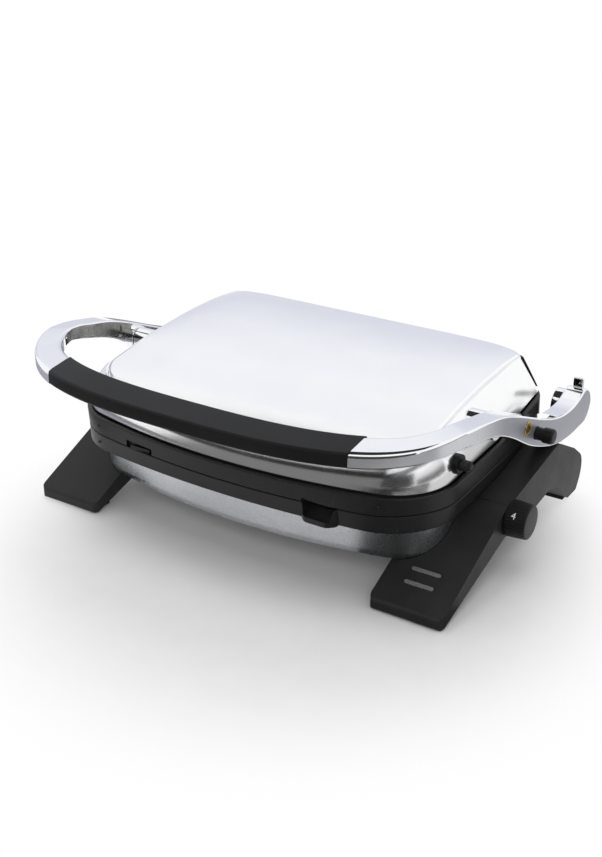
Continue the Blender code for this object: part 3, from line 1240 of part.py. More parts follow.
def build_upper_plate():
    bottom = UPPER_RIM_BOTTOM_Z
    channel = bottom + UPPER_CHANNEL_DEPTH
    face = bottom + COOKING_FACE_DEPTH
    rings = [plan_ring(UPPER_RIM_PLAN, UPPER_PLATE_BACK_Z, UPPER_RIM_LEDGE + RIM_EDGE),
             plan_ring(UPPER_RIM_PLAN, rim_top, UPPER_RIM_LEDGE),
             plan_ring(UPPER_RIM_PLAN, rim_top, RIM_EDGE),
             plan_ring(UPPER_RIM_PLAN, lambda x, y: rim_top(x, y) - RIM_EDGE),
             plan_ring(SPLIT_PLAN, bottom + RIM_EDGE), plan_ring(SPLIT_PLAN, bottom, RIM_EDGE),
             plan_ring(SPLIT_PLAN, bottom, RIM_LAND), plan_ring(SPLIT_PLAN, channel, RIM_WALL_INSET),
             plan_ring(SPLIT_PLAN, channel, DRIP_CHANNEL_INSET), plan_ring(SPLIT_PLAN, face, COOKING_INSET)]
    plate = loft("upper_plate", rings)
    join(plate, rib_comb("upper_ribs", face, -RIB_HEIGHT))
    front = split_front_y(NOTCH_X)
    cut(plate, block("rim_notch", (NOTCH_X - NOTCH_WIDTH / 2, front - CUT_OVERRUN, bottom - CUT_OVERRUN),
                     (NOTCH_X + NOTCH_WIDTH / 2, front + NOTCH_DEPTH, bottom + NOTCH_HEIGHT)))
    hook_z = RELEASE_TONGUE_Z + RELEASE_TONGUE_THICKNESS + FIT_GAP
    inner_x = LUG_OUTER_X - LUG_THICKNESS
    hook_top = hook_z + LUG_HOOK_THICKNESS
    lug = [(inner_x, UPPER_PLATE_BACK_Z - FUSE_OVERLAP), (LUG_OUTER_X, UPPER_PLATE_BACK_Z - FUSE_OVERLAP),
           (LUG_OUTER_X, hook_top), (inner_x - LUG_HOOK_LENGTH, hook_top),
           (inner_x - LUG_HOOK_LENGTH, hook_z), (inner_x, hook_z)]
    join(plate, slab("plate_lug", lug, Y_AXIS, RELEASE_Y - LUG_HALF_WIDTH, RELEASE_Y + LUG_HALF_WIDTH))
    seat(plate, "cast", "lid")


def heater_points(z):
    lead = HEATER_LEAD_SPACING / 2
    half = HEATER_HALF_SPAN
    corners = [(-lead, HEATER_LEAD_BACK_Y, 0), (-lead, HEATER_BACK_Y, HEATER_BEND / 2),
               (-half, HEATER_BACK_Y, HEATER_BEND), (-half, HEATER_FRONT_Y, HEATER_BEND),
               (half, HEATER_FRONT_Y, HEATER_BEND), (half, HEATER_BACK_Y, HEATER_BEND),
               (lead, HEATER_BACK_Y, HEATER_BEND / 2), (lead, HEATER_LEAD_BACK_Y, 0)]
    return [(x, y, z) for x, y in rounded(corners, HEATER_STEPS)]


def build_heating():
    drop = FIT_GAP + HEATER_RADIUS
    seat(tube("lower_heater", heater_points(LOWER_PLATE_BACK_Z - drop), HEATER_RADIUS), "zinc")
    seat(tube("upper_heater", heater_points(UPPER_PLATE_BACK_Z + drop), HEATER_RADIUS), "zinc", "lid")
    plan = SHELL_TOP_PLAN
    rim_z = SHELL_TOP_Z + FIT_GAP
    floor_z = rim_z - LOWER_SHIELD_DROP
    step = SHELL_TOP_FLANGE + 2 * SHIELD_THICKNESS
    rings = [plan_ring(plan, floor_z, step + SHIELD_THICKNESS), plan_ring(plan, rim_z, step),
             plan_ring(plan, rim_z, LOWER_SHIELD_INSET), plan_ring(plan, rim_z + SHIELD_THICKNESS,
                                                                   LOWER_SHIELD_INSET),
             plan_ring(plan, rim_z + SHIELD_THICKNESS, step + SHIELD_THICKNESS),
             plan_ring(plan, floor_z + SHIELD_THICKNESS, step + 2 * SHIELD_THICKNESS)]
    seat(loft("lower_heat_shield", rings), "aluminium")
    low = UPPER_PLATE_BACK_Z + FIT_GAP
    high = low + UPPER_SHIELD_HEIGHT
    inset = UPPER_SHIELD_INSET
    rings = [plan_ring(LID_PLAN, high - SHIELD_THICKNESS, inset + UPPER_SHIELD_DRAFT + SHIELD_THICKNESS),
             plan_ring(LID_PLAN, low, inset + SHIELD_THICKNESS), plan_ring(LID_PLAN, low, inset),
             plan_ring(LID_PLAN, high, inset + UPPER_SHIELD_DRAFT)]
    shield = loft("upper_heat_shield", rings)
    cut(shield, block("shield_notch", (-SHIELD_NOTCH_HALF_WIDTH, HEATER_BACK_Y, low - CUT_OVERRUN),
                      (SHIELD_NOTCH_HALF_WIDTH, HEATER_LEAD_BACK_Y, low + 2 * HEATER_RADIUS + FUSE_OVERLAP)))
    seat(shield, "aluminium", "lid")


# Thermostat, wiring and cord inlet

def build_electrics():
    low_z = FLOOR_TOP_Z + FIT_GAP
    thermostat = block("thermostat", (THERMOSTAT_INNER_X, KNOB_Y - THERMOSTAT_DEPTH / 2, low_z),
                       (THERMOSTAT_OUTER_X, KNOB_Y + THERMOSTAT_DEPTH / 2,
                        SHELL_TOP_Z - LOWER_SHIELD_DROP - FIT_GAP), THERMOSTAT_EDGE)
    cut(thermostat, rod("spindle_bore", "X", (KNOB_Y, KNOB_Z), SPINDLE_START_X - BORE_END_GAP,
                        SPINDLE_END_X, SPINDLE_RADIUS + FIT_GAP))
    seat(thermostat, "ivory")
    terminal_low = (TERMINAL_X - TERMINAL_SIZE[0] / 2, TERMINAL_Y - TERMINAL_SIZE[1] / 2, low_z)
    seat(block("terminal_block", terminal_low, [terminal_low[k] + TERMINAL_SIZE[k] for k in range(3)],
               TERMINAL_EDGE), "ivory")
    gland = rod("cord_gland", "Y", (GLAND_X, GLAND_Z), GLAND_FLANGE_Y - GLAND_LENGTH,
                GLAND_FLANGE_Y + GLAND_FLANGE_THICKNESS / 2, GLAND_RADIUS, segments=24)
    join(gland, rod("gland_flange", "Y", (GLAND_X, GLAND_Z), GLAND_FLANGE_Y,
                    GLAND_FLANGE_Y + GLAND_FLANGE_THICKNESS, GLAND_FLANGE_RADIUS, segments=24))
    cut(gland, rod("gland_bore", "Y", (GLAND_X, GLAND_Z), GLAND_FLANGE_Y - GLAND_LENGTH - CUT_OVERRUN,
                   GLAND_FLANGE_Y + GLAND_FLANGE_THICKNESS + CUT_OVERRUN, GLAND_BORE_RADIUS))
    seat(gland, "black_plastic")
    start = (terminal_low[0] + TERMINAL_SIZE[0] + FIT_GAP, TERMINAL_Y)
    end = ((THERMOSTAT_INNER_X + THERMOSTAT_OUTER_X) / 2, KNOB_Y + THERMOSTAT_DEPTH / 2 + FIT_GAP)
    points = []
    for i in range(LOOM_POINTS):
        share = i / (LOOM_POINTS - 1)
        points.append((start[0] + (end[0] - start[0]) * math.sin(math.pi / 2 * share),
                       start[1] + (end[1] - start[1]) * (1 - math.cos(math.pi / 2 * share)),
                       low_z + LOOM_RADIUS + TERMINAL_EDGE))
    seat(tube("supply_wire", points, LOOM_RADIUS), "rubber")


def build_knob():
    socket = SHAFT_RADIUS + FIT_GAP
    profile = [(0, KNOB_SOCKET_DEPTH), (socket, KNOB_SOCKET_DEPTH), (socket, 0), (KNOB_RADIUS - KNOB_EDGE, 0),
               (KNOB_RADIUS, KNOB_EDGE), (KNOB_TIP_RADIUS, KNOB_LENGTH - KNOB_EDGE),
               (KNOB_TIP_RADIUS - KNOB_EDGE, KNOB_LENGTH), (0, KNOB_LENGTH)]
    seat(turned("control_knob", profile, (KNOB_INNER_X, KNOB_Y, KNOB_Z)), "black_plastic", "knob")
    end = KNOB_INNER_X + SHAFT_GRIP
    step = SPINDLE_END_X + FIT_GAP
    profile = [(0, SPINDLE_START_X), (SPINDLE_RADIUS, SPINDLE_START_X), (SPINDLE_RADIUS, step),
               (SHAFT_RADIUS, step), (SHAFT_RADIUS, end), (0, end)]
    seat(turned("knob_shaft", profile, (0, KNOB_Y, KNOB_Z), steps=SMALL_SEGMENTS), "zinc", "knob")


# Handle and hinges

def build_arm(side_name, side):
    rings = arm_rings()
    arm = loft("arm_" + side_name, rings if side > 0 else [mirrored(ring) for ring in rings])
    join(arm, side_rod("pivot_shoulder_" + side_name, side, (PIVOT_Y, PIVOT_Z), PIVOT_SPLIT_X + FIT_GAP,
                       ARM_INNER_X + FUSE_OVERLAP, PIVOT_SHOULDER_RADIUS, ROUND_SEGMENTS))
    lug_x = (ARM_INNER_X + LEG_OUTER_X + FUSE_OVERLAP) / 2
    lug_low = HINGE_Z + TAIL_RADIUS - STOP_LUG_SINK
    lug_high = HINGE_Z + TAIL_RADIUS + STOP_LUG_HEIGHT - FUSE_OVERLAP
    half_width = STOP_LUG_WIDTH / 2
    half_depth = STOP_LUG_THICKNESS / 2
    join(arm, side_block("stop_lug_" + side_name, side,
                         (lug_x - half_width, STOP_LUG_Y - half_depth, lug_low),
                         (lug_x + half_width, STOP_LUG_Y + half_depth, lug_high), half_depth / 2))
    cut(arm, PIVOT_BORE)
    cut(arm, HINGE_BORE)
    cut(arm, TIE_BORE)
    pocket_end = ARM_POCKET_START_Y + ARM_POCKET_LENGTH
    pocket = rounded([(y, z, ARM_POCKET_RADIUS) for y, z in (
        (ARM_POCKET_START_Y, arm_bottom(ARM_POCKET_START_Y) + ARM_POCKET_MARGIN),
        (pocket_end, arm_bottom(pocket_end) + ARM_POCKET_MARGIN),
        (pocket_end, arm_top(pocket_end) - ARM_POCKET_MARGIN),
        (ARM_POCKET_START_Y, arm_top(ARM_POCKET_START_Y) - ARM_POCKET_MARGIN))])
    cut(arm, side_slab("arm_pocket_" + side_name, side, pocket, ARM_INNER_X - CUT_OVERRUN,
                       ARM_INNER_X + ARM_POCKET_DEPTH))
    if side > 0:
        cut(arm, rod("lock_bore", "X", (LOCK_Y, LOCK_Z), ARM_INNER_X - CUT_OVERRUN, LEG_OUTER_X,
                     LOCK_PIN_RADIUS + FIT_GAP))
        cut(arm, rod("lock_well", "X", (LOCK_Y, LOCK_Z), LEG_OUTER_X - LOCK_TRAVEL - BORE_END_GAP,
                     LEG_OUTER_X + CUT_OVERRUN, LOCK_NECK_RADIUS + FIT_GAP, segments=24))
        cut(arm, rod("disc_recess", "X", (DISC_Y, DISC_Z), LEG_OUTER_X - DISC_SINK - FIT_GAP,
                     LEG_OUTER_X + CUT_OVERRUN, DISC_RADIUS + FIT_GAP, segments=24))
    seat(arm, "chrome", "handle")


def build_grip():
    grip = loft("grip", grip_rings())
    cut(grip, TIE_BORE)
    seat(grip, "black_grip", "handle")
    seat(tube("grip_tie_bar", tie_points(GRIP_HALF_LENGTH + TIE_SOCKET_DEPTH), TIE_RADIUS), "zinc", "handle")
    seat(rod("brass_disc", "X", (DISC_Y, DISC_Z), LEG_OUTER_X - DISC_SINK,
             LEG_OUTER_X - DISC_SINK + DISC_THICKNESS, DISC_RADIUS, segments=24), "brass", "handle")


def build_hinge(side_name, side):
    inner = HINGE_DRUM_INNER_X
    outer = ARM_INNER_X - FIT_GAP
    axis = (HINGE_Y, HINGE_Z)
    bracket = side_rod("hinge_bracket_" + side_name, side, axis, inner, outer, HINGE_DRUM_RADIUS,
                       ROUND_SEGMENTS)
    join(bracket, side_block("hinge_post_" + side_name, side,
                             (inner, HINGE_Y - HINGE_POST_HALF_DEPTH, HINGE_POST_FOOT_Z),
                             (outer, HINGE_Y + HINGE_POST_HALF_DEPTH, HINGE_Z)))
    cut(bracket, HINGE_BORE)
    recess_x = inner + HINGE_RECESS_DEPTH
    cut(bracket, side_rod("hinge_recess_" + side_name, side, axis, inner - CUT_OVERRUN, recess_x,
                          HINGE_RECESS_RADIUS, ROUND_SEGMENTS))
    seat(bracket, "chrome")
    cap_x = inner + HINGE_CAP_SINK
    seat(side_rod("hinge_cap_" + side_name, side, axis, cap_x, cap_x + HINGE_CAP_THICKNESS,
                  HINGE_CAP_RADIUS, ROUND_SEGMENTS), "black_plastic")
    start = recess_x - FIT_GAP
    end = ARM_INNER_X + HINGE_PIN_REACH
    profile = [(0, start - HINGE_PIN_HEAD_LENGTH), (HINGE_PIN_HEAD_RADIUS, start - HINGE_PIN_HEAD_LENGTH),
               (HINGE_PIN_HEAD_RADIUS, start), (HINGE_PIN_RADIUS, start), (HINGE_PIN_RADIUS, end), (0, end)]
    seat(turned("hinge_pin_" + side_name, profile, (0, HINGE_Y, HINGE_Z), side, SMALL_SEGMENTS), "zinc")


# Lid

def build_lid_cover():
    cover = loft("lid_cover", lid_rings(-LID_WALL)[::-1] + lid_rings())
    cut(cover, PIVOT_BORE)
    cut(cover, rod("button_hole", "X", (RELEASE_Y, RELEASE_Z), RELEASE_COLLAR_X, LEG_OUTER_X,
                   RELEASE_BUTTON_RADIUS + FIT_GAP, segments=24))
    reach = math.hypot(LOCK_Y - PIVOT_Y, LOCK_Z - PIVOT_Z)
    start = math.atan2(LOCK_Z - PIVOT_Z, LOCK_Y - PIVOT_Y)
    end = start - math.radians(FLOAT_DEGREES)
    radius = LOCK_PIN_RADIUS + FIT_GAP
    steps = LOCK_SLOT_STEPS
    pivot = (PIVOT_Y, PIVOT_Z)
    tip = (PIVOT_Y + reach * math.cos(end), PIVOT_Z + reach * math.sin(end))
    slot = (arc(pivot, reach + radius, end, start, steps)
            + arc((LOCK_Y, LOCK_Z), radius, start, start + math.pi, steps)[1:-1]
            + arc(pivot, reach - radius, start, end, steps)
            + arc(tip, radius, end + math.pi, end + 2 * math.pi, steps)[1:-1])
    cut(cover, slab("lock_slot", slot, X_AXIS, LID_HALF_WIDTH - PIVOT_BOSS_RADIUS, LEG_OUTER_X))
    seat(cover, "steel", "lid")
    outside = FIT_GAP + REAR_COVER_THICKNESS
    rear = loft("lid_rear_cover", lid_rings(outside))
    top_z = lid_arch(0, CREASE_BACK_Y) - REAR_COVER_MARGIN
    low_z = lid_bottom(0, LID_BACK_Y) + REAR_COVER_MARGIN
    front_low = LID_BACK_Y - REAR_COVER_WRAP
    front_high = CREASE_BACK_Y - REAR_COVER_WRAP
    field = [(front_low, low_z), (LID_BACK_Y + LID_REAR_RADIUS, low_z), (LID_BACK_Y + LID_REAR_RADIUS, top_z),
             (front_high, top_z)]
    combine(rear, slab("rear_cover_field", field, X_AXIS, -LEG_OUTER_X, LEG_OUTER_X), "INTERSECT")
    cut(rear, LID_ENVELOPE)
    seat(rear, "black_plastic", "lid")


def build_lid_frame():
    low = UPPER_PLATE_BACK_Z + FIT_GAP
    inner = LID_FRAME_INSET + LID_FRAME_WALL
    ledge = LID_FRAME_INSET + LID_FRAME_LEDGE

    def wall_top(x, y):
        return lid_bottom(x, y) + LID_FRAME_RISE

    ledge_top = low + LID_FRAME_LEDGE_THICKNESS
    rings = [plan_ring(LID_FRAME_PLAN, low, LID_FRAME_INSET),
             plan_ring(LID_FRAME_PLAN, wall_top, LID_FRAME_INSET + LID_FRAME_DRAFT),
             plan_ring(LID_FRAME_PLAN, wall_top, inner), plan_ring(LID_FRAME_PLAN, ledge_top, inner),
             plan_ring(LID_FRAME_PLAN, ledge_top, ledge), plan_ring(LID_FRAME_PLAN, low, ledge)]
    frame = loft("lid_frame", rings, wrap=True)
    seat_x = RELEASE_SEAT_X
    join(frame, block("spring_seat", (seat_x, RELEASE_Y - RELEASE_SEAT_HALF_WIDTH,
                                      low + LID_FRAME_LEDGE_THICKNESS - FUSE_OVERLAP),
                      (seat_x + RELEASE_SEAT_THICKNESS, RELEASE_Y + RELEASE_SEAT_HALF_WIDTH,
                       RELEASE_Z + RELEASE_SEAT_TOP_MARGIN)))
    cut(frame, rod("stem_hole", "X", (RELEASE_Y, RELEASE_Z), seat_x - CUT_OVERRUN,
                   seat_x + RELEASE_SEAT_THICKNESS + CUT_OVERRUN, RELEASE_STEM_RADIUS + FIT_GAP))
    cut(frame, block("lug_notch", (RELEASE_CATCH_X, RELEASE_Y - FRAME_NOTCH_HALF_WIDTH, low - CUT_OVERRUN),
                     (LUG_OUTER_X + FIT_GAP, RELEASE_Y + FRAME_NOTCH_HALF_WIDTH, RELEASE_TONGUE_Z)))
    seat(frame, "black_plastic", "lid")


def build_lid_pivot(side_name, side):
    boss = side_rod("lid_boss_" + side_name, side, (PIVOT_Y, PIVOT_Z), PIVOT_BOSS_START_X, PIVOT_SPLIT_X,
                    PIVOT_BOSS_RADIUS, ROUND_SEGMENTS)
    cut(boss, LID_ENVELOPE)
    cut(boss, PIVOT_BORE)
    seat(boss, "chrome", "lid")
    low = UPPER_PLATE_BACK_Z + LID_FRAME_LEDGE_THICKNESS + 2 * FIT_GAP
    plate_x = PIVOT_BRACKET_X + PIVOT_BRACKET_THICKNESS
    outline = [(PIVOT_BRACKET_X, low), (plate_x + PIVOT_BRACKET_FOOT, low),
               (plate_x + PIVOT_BRACKET_FOOT, low + PIVOT_BRACKET_THICKNESS),
               (plate_x, low + PIVOT_BRACKET_THICKNESS), (plate_x, PIVOT_Z + PIVOT_BRACKET_TOP_MARGIN),
               (PIVOT_BRACKET_X, PIVOT_Z + PIVOT_BRACKET_TOP_MARGIN)]
    bracket = slab("pivot_bracket_" + side_name, [(side * x, z) for x, z in outline], Y_AXIS,
                   PIVOT_Y - PIVOT_BRACKET_HALF_WIDTH, PIVOT_Y + PIVOT_BRACKET_HALF_WIDTH)
    cut(bracket, PIVOT_BORE)
    seat(bracket, "zinc", "lid")
    inner = PIVOT_BRACKET_X - FIT_GAP
    end = ARM_INNER_X + PIVOT_PIN_REACH
    profile = [(0, inner - PIVOT_HEAD_LENGTH), (PIVOT_HEAD_RADIUS, inner - PIVOT_HEAD_LENGTH),
               (PIVOT_HEAD_RADIUS, inner), (PIVOT_PIN_RADIUS, inner), (PIVOT_PIN_RADIUS, end), (0, end)]
    pin = turned("pivot_pin_" + side_name, profile, (0, PIVOT_Y, PIVOT_Z), side, SMALL_SEGMENTS)
    seat(pin, "zinc", "handle")


# Lock plunger and release button

def build_lock():
    start = LEG_OUTER_X - FIT_GAP
    neck_end = start + LOCK_NECK_LENGTH
    end = neck_end + LOCK_HEAD_LENGTH
    socket = LOCK_PIN_RADIUS + FIT_GAP
    grip_end = start + LOCK_PIN_GRIP
    profile = [(0, grip_end + BORE_END_GAP), (socket, grip_end + BORE_END_GAP), (socket, start),
               (LOCK_NECK_RADIUS, start), (LOCK_NECK_RADIUS, neck_end),
               (LOCK_HEAD_RADIUS - LOCK_HEAD_EDGE / 2, neck_end),
               (LOCK_HEAD_RADIUS, neck_end + LOCK_HEAD_EDGE), (LOCK_HEAD_RADIUS, end - LOCK_HEAD_EDGE),
               (LOCK_HEAD_RADIUS - LOCK_HEAD_EDGE, end), (0, end)]
    seat(turned("lock_knob", profile, (0, LOCK_Y, LOCK_Z), steps=24), "black_plastic", "lock")
    seat(rod("lock_pin", "X", (LOCK_Y, LOCK_Z), LOCK_PIN_TIP_X, grip_end, LOCK_PIN_RADIUS), "zinc", "lock")
    clip_end = ARM_INNER_X - FIT_GAP
    clip = rod("lock_clip", "X", (LOCK_Y, LOCK_Z), clip_end - LOCK_CLIP_THICKNESS, clip_end, LOCK_CLIP_RADIUS)
    cut(clip, rod("clip_bore", "X", (LOCK_Y, LOCK_Z), clip_end - LOCK_CLIP_THICKNESS - CUT_OVERRUN,
                  clip_end + CUT_OVERRUN, LOCK_PIN_RADIUS + FIT_GAP))
    seat(clip, "zinc", "lock")


def build_release():
    bezel = rod("release_bezel", "X", (RELEASE_Y, RELEASE_Z), RELEASE_COLLAR_X,
                RELEASE_WALL_X + RELEASE_BEZEL_THICKNESS, RELEASE_BEZEL_RADIUS, segments=24)
    cut(bezel, LID_ENVELOPE)
    cut(bezel, rod("bezel_bore", "X", (RELEASE_Y, RELEASE_Z), RELEASE_COLLAR_X - CUT_OVERRUN, LEG_OUTER_X,
                   RELEASE_BUTTON_RADIUS + FIT_GAP, segments=24))
    seat(bezel, "black_plastic", "lid")
    end = RELEASE_WALL_X + RELEASE_BEZEL_THICKNESS + RELEASE_BUTTON_LENGTH
    collar_end = RELEASE_COLLAR_X + RELEASE_COLLAR_THICKNESS
    stem_start = RELEASE_CATCH_X + RELEASE_CATCH_THICKNESS - FUSE_OVERLAP
    edge = RELEASE_TIP_RADIUS / 4
    profile = [(0, stem_start), (RELEASE_STEM_RADIUS, stem_start), (RELEASE_STEM_RADIUS, RELEASE_COLLAR_X),
               (RELEASE_COLLAR_RADIUS, RELEASE_COLLAR_X), (RELEASE_COLLAR_RADIUS, collar_end),
               (RELEASE_BUTTON_RADIUS, collar_end), (RELEASE_BUTTON_RADIUS, end - RELEASE_TIP_LENGTH),
               (RELEASE_TIP_RADIUS, end - RELEASE_TIP_LENGTH), (RELEASE_TIP_RADIUS, end - edge),
               (RELEASE_TIP_RADIUS - edge, end), (0, end)]
    button = turned("release_button", profile, (0, RELEASE_Y, RELEASE_Z), steps=24)
    low = RELEASE_TONGUE_Z
    join(button, block("catch_plate", (RELEASE_CATCH_X, RELEASE_Y - RELEASE_CATCH_HALF_WIDTH, low),
                       (RELEASE_CATCH_X + RELEASE_CATCH_THICKNESS, RELEASE_Y + RELEASE_CATCH_HALF_WIDTH,
                        RELEASE_Z + RELEASE_CATCH_TOP_MARGIN)))
    join(button, block("catch_tongue", (RELEASE_CATCH_X + RELEASE_CATCH_THICKNESS - FUSE_OVERLAP,
                                        RELEASE_Y - RELEASE_CATCH_HALF_WIDTH, low),
                       (RELEASE_CATCH_X + RELEASE_TONGUE_LENGTH, RELEASE_Y + RELEASE_CATCH_HALF_WIDTH,
                        low + RELEASE_TONGUE_THICKNESS)))
    seat(button, "black_plastic", "release")
    first = RELEASE_SEAT_X + RELEASE_SEAT_THICKNESS + FIT_GAP + SPRING_WIRE_RADIUS
    last = RELEASE_COLLAR_X - FIT_GAP - SPRING_WIRE_RADIUS
    count = SPRING_TURNS * SPRING_POINTS_PER_TURN
    coil = [(first + (last - first) * i / count,
             RELEASE_Y + SPRING_COIL_RADIUS * math.cos(2 * math.pi * i / SPRING_POINTS_PER_TURN),
             RELEASE_Z + SPRING_COIL_RADIUS * math.sin(2 * math.pi * i / SPRING_POINTS_PER_TURN))
            for i in range(count + 1)]
    seat(tube("release_spring", coil, SPRING_WIRE_RADIUS, 0), "zinc", "lid")


build_shell()
build_floor()
build_lenses()
build_pads()
build_leg_screws()
build_lower_plate()
build_upper_plate()
build_heating()
build_electrics()
build_knob()
build_grip()
build_lid_cover()
build_lid_frame()
build_lock()
build_release()
for side_name, side in SIDES:
    build_leg(side_name, side)
    build_arm(side_name, side)
    build_hinge(side_name, side)
    build_lid_pivot(side_name, side)
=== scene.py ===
"""Looks of the countertop contact grill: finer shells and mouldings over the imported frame.

Places are written in the construction's own frame, whose X is the middle plane between the legs and whose Y
starts at the front of the feet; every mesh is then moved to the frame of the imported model.
"""
import math
from collections import namedtuple

import bmesh
import bpy
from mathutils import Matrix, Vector


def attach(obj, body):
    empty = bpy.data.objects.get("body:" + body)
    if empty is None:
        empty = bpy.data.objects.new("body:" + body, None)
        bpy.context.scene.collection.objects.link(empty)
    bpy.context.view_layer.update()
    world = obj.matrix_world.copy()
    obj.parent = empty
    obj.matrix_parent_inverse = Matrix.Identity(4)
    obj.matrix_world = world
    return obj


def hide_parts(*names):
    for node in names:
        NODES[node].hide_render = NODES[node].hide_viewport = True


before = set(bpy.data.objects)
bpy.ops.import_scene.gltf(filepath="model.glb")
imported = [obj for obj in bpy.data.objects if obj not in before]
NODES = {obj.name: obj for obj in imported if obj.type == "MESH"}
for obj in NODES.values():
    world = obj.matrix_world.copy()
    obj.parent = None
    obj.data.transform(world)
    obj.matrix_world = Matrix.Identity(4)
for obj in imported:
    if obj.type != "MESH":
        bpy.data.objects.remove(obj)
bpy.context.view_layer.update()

SHIFT_X = -0.0087
SHIFT_Y = -0.10175

# Plates and rims
PLATE_BACK_Y = 0.236
SPLIT_Z = 0.0711
FIT_GAP = 0.0004
LOWER_RIM_BOTTOM_Z = 0.0572
UPPER_RIM_BOTTOM_Z = 0.0715
UPPER_RIM_TOP_Z = 0.0853
UPPER_BACK_Z = 0.0790
LOWER_BACK_Z = 0.0626
RIM_LEDGE = 0.0036
RIM_LAND = 0.0035
RIM_ROUND = 0.0011
RIM_WALL_INSET = 0.0070
CHANNEL_INSET = 0.0140
COOKING_INSET = 0.0155
CHANNEL_DEPTH = 0.0055
COOKING_DEPTH = 0.0040
RIB_INSET = 0.0190
RIB_COUNT = 21
RIB_PITCH = 0.0145
RIB_HEIGHT = 0.0015
RIB_FOOT_WIDTH = 0.0056
RIB_TOP_WIDTH = 0.0030
SKIRT_WALL = 0.0032
SKIRT_DRAFT = 0.0014
PLATE_FOOT_INSET = 0.0030
PLATE_FOOT_WIDTH = 0.0035
TAPER_SHARE = 0.02
SPOUT_X = 0.0852
SPOUT_WIDTH = 0.0300
SPOUT_WALL = 0.0016
SPOUT_REACH = 0.0045
SPOUT_NOSE_SHARE = 0.62
SPOUT_NOSE_RADIUS = 0.0060
SPOUT_ROOT = 0.0085
SPOUT_LIP_DROP = 0.0098
SPOUT_FLOOR_DROP = 0.0120
SPOUT_FLARE = 0.0026
SPOUT_RELIEF = 0.0030
NOTCH_X = -0.079
NOTCH_WIDTH = 0.028
NOTCH_HEIGHT = 0.0058
NOTCH_DEPTH = 0.0052
TONGUE_WIDTH = 0.019
TONGUE_HEIGHT = 0.0032
TONGUE_THICKNESS = 0.0016
RIVET_RADIUS = 0.0013
UPPER_RIVETS = ((-0.127, 0.0780), (0.1303, 0.0792))
LOWER_RIVETS = ((-0.127, 0.0640), (0.1450, 0.0640))

# Lid
LID_BOTTOM_Z = 0.0870
LID_HEIGHT = 0.0418
LID_REAR_LIFT = 0.0115
LID_REAR_LIFT_START_Y = 0.130
LID_BACK_Y = 0.2235
CREASE_HALF_WIDTH = 0.1455
CREASE_FRONT_Y = 0.034
CREASE_BACK_Y = 0.2165
CREASE_BOW = 0.018
CREASE_FILLET = 0.0022
CREASE_ROLL = 0.0010
CREASE_GROOVE = 0.0007
LID_CROWN = 0.0060
LID_CROWN_POWER = 10
LID_CROWN_START_Y = 0.050
LID_CROWN_END_Y = 0.190
LID_WALL = 0.0010
LID_SWEEP_DEGREES = 50.0
LID_SIDE_STEPS = 14
LID_TOP_STEPS = 24
SIDE_FLAT_Y = (0.165, 0.212)
REAR_FLAT_Y = (0.120, 0.200)
LID_ARCH_SHARES = ((0.0, 0.46), (0.12, 0.666), (0.295, 0.816), (0.42, 0.908), (0.6, 0.976),
                   (0.72, 1.0), (0.88, 0.993), (1.0, 0.952))

# Housing
SHELL_TOP_Z = 0.0567
SHELL_CREASE_Z = 0.0292
SHELL_BOTTOM_Z = 0.0250
SHELL_WALL = 0.0012
SHELL_TOP_FLANGE = 0.0130
SHELL_BOTTOM_FLANGE = 0.0120
SHELL_CREASE_ROUND = 0.0016
GLAND_X = 0.090
GLAND_Z = 0.0420
GLAND_HOLE_RADIUS = 0.0066
GLAND_STEPS = 40

# Legs
LEG_OUTER_X = 0.189
LEG_INNER_X = 0.129
LEG_LENGTH = 0.2533
LEG_HEIGHT = 0.0640
LEG_TOE_HEIGHT = 0.0108
LEG_TOE_CLEARANCE = 0.0008
TOE_FRONT_Y = -0.0026
TOE_SOLE_Z = 0.0004
TOE_TOP_Z = 0.0094
TOE_SOLE_ROUND = 0.0016
TOE_TOP_ROUND = 0.0042
LEG_KNEE_Y = 0.0952
LEG_KNEE_Z = 0.0522
LEG_SOLE_END_Y = 0.098
LEG_SOLE_END_Z = 0.0285
LEG_UNDERLAP_END_Y = 0.072
LEG_CORNER_RADIUS = 0.014
LEG_SMALL_RADIUS = 0.0030
LEG_TAIL_RADIUS = 0.024
LEG_EDGE = 0.0017
LEG_TOE_RADIUS = 0.0055
LEG_BACK_SHARES = ((0.772, 1.066), (0.920, 0.760), (1.004, 0.520), (1.006, 0.260))
LEG_FOOT_SHARES = ((0.975, 0.0625), (0.902, 0.0625))
LEG_ARCH_SHARES = ((0.800, 0.395), (0.725, 0.490), (0.600, 0.430))
SEAM_Y = 0.103
SEAM_WIDTH = 0.0005
SEAM_DEPTH = 0.0004

# Indicator lenses
LENS_X = 0.1590
LENS_WIDTH = 0.0240
LENS_DEPTH = 0.0036
LENS_PROUD = 0.0004
LENS_THICKNESS = 0.0030
LENS_Y = (0.0185, 0.0300)

# Handle
ARM_INNER_X = 0.1725
HANDLE_FRONT_Y = -0.0562
HANDLE_SHOULDER_Y = 0.055
HANDLE_INNER_FRONT_Y = -0.0302
HANDLE_POWER = 2.75
GRIP_HALF_LENGTH = 0.131
GRIP_FRONT_TOP_Z = 0.1405
GRIP_BACK_TOP_Z = 0.1440
GRIP_BOTTOM_Z = 0.1293
GRIP_ROUND = 0.0024
GRIP_STATIONS = 61
ARM_CORNER_STATIONS = 34
ARM_STATIONS = 60
TAIL_STATIONS = 14
ARM_ROUND = 0.0017
# Arm faces turned inwards past this get a dark tone that is painted reflection
INNER_PAINTED_FACING = 0.93
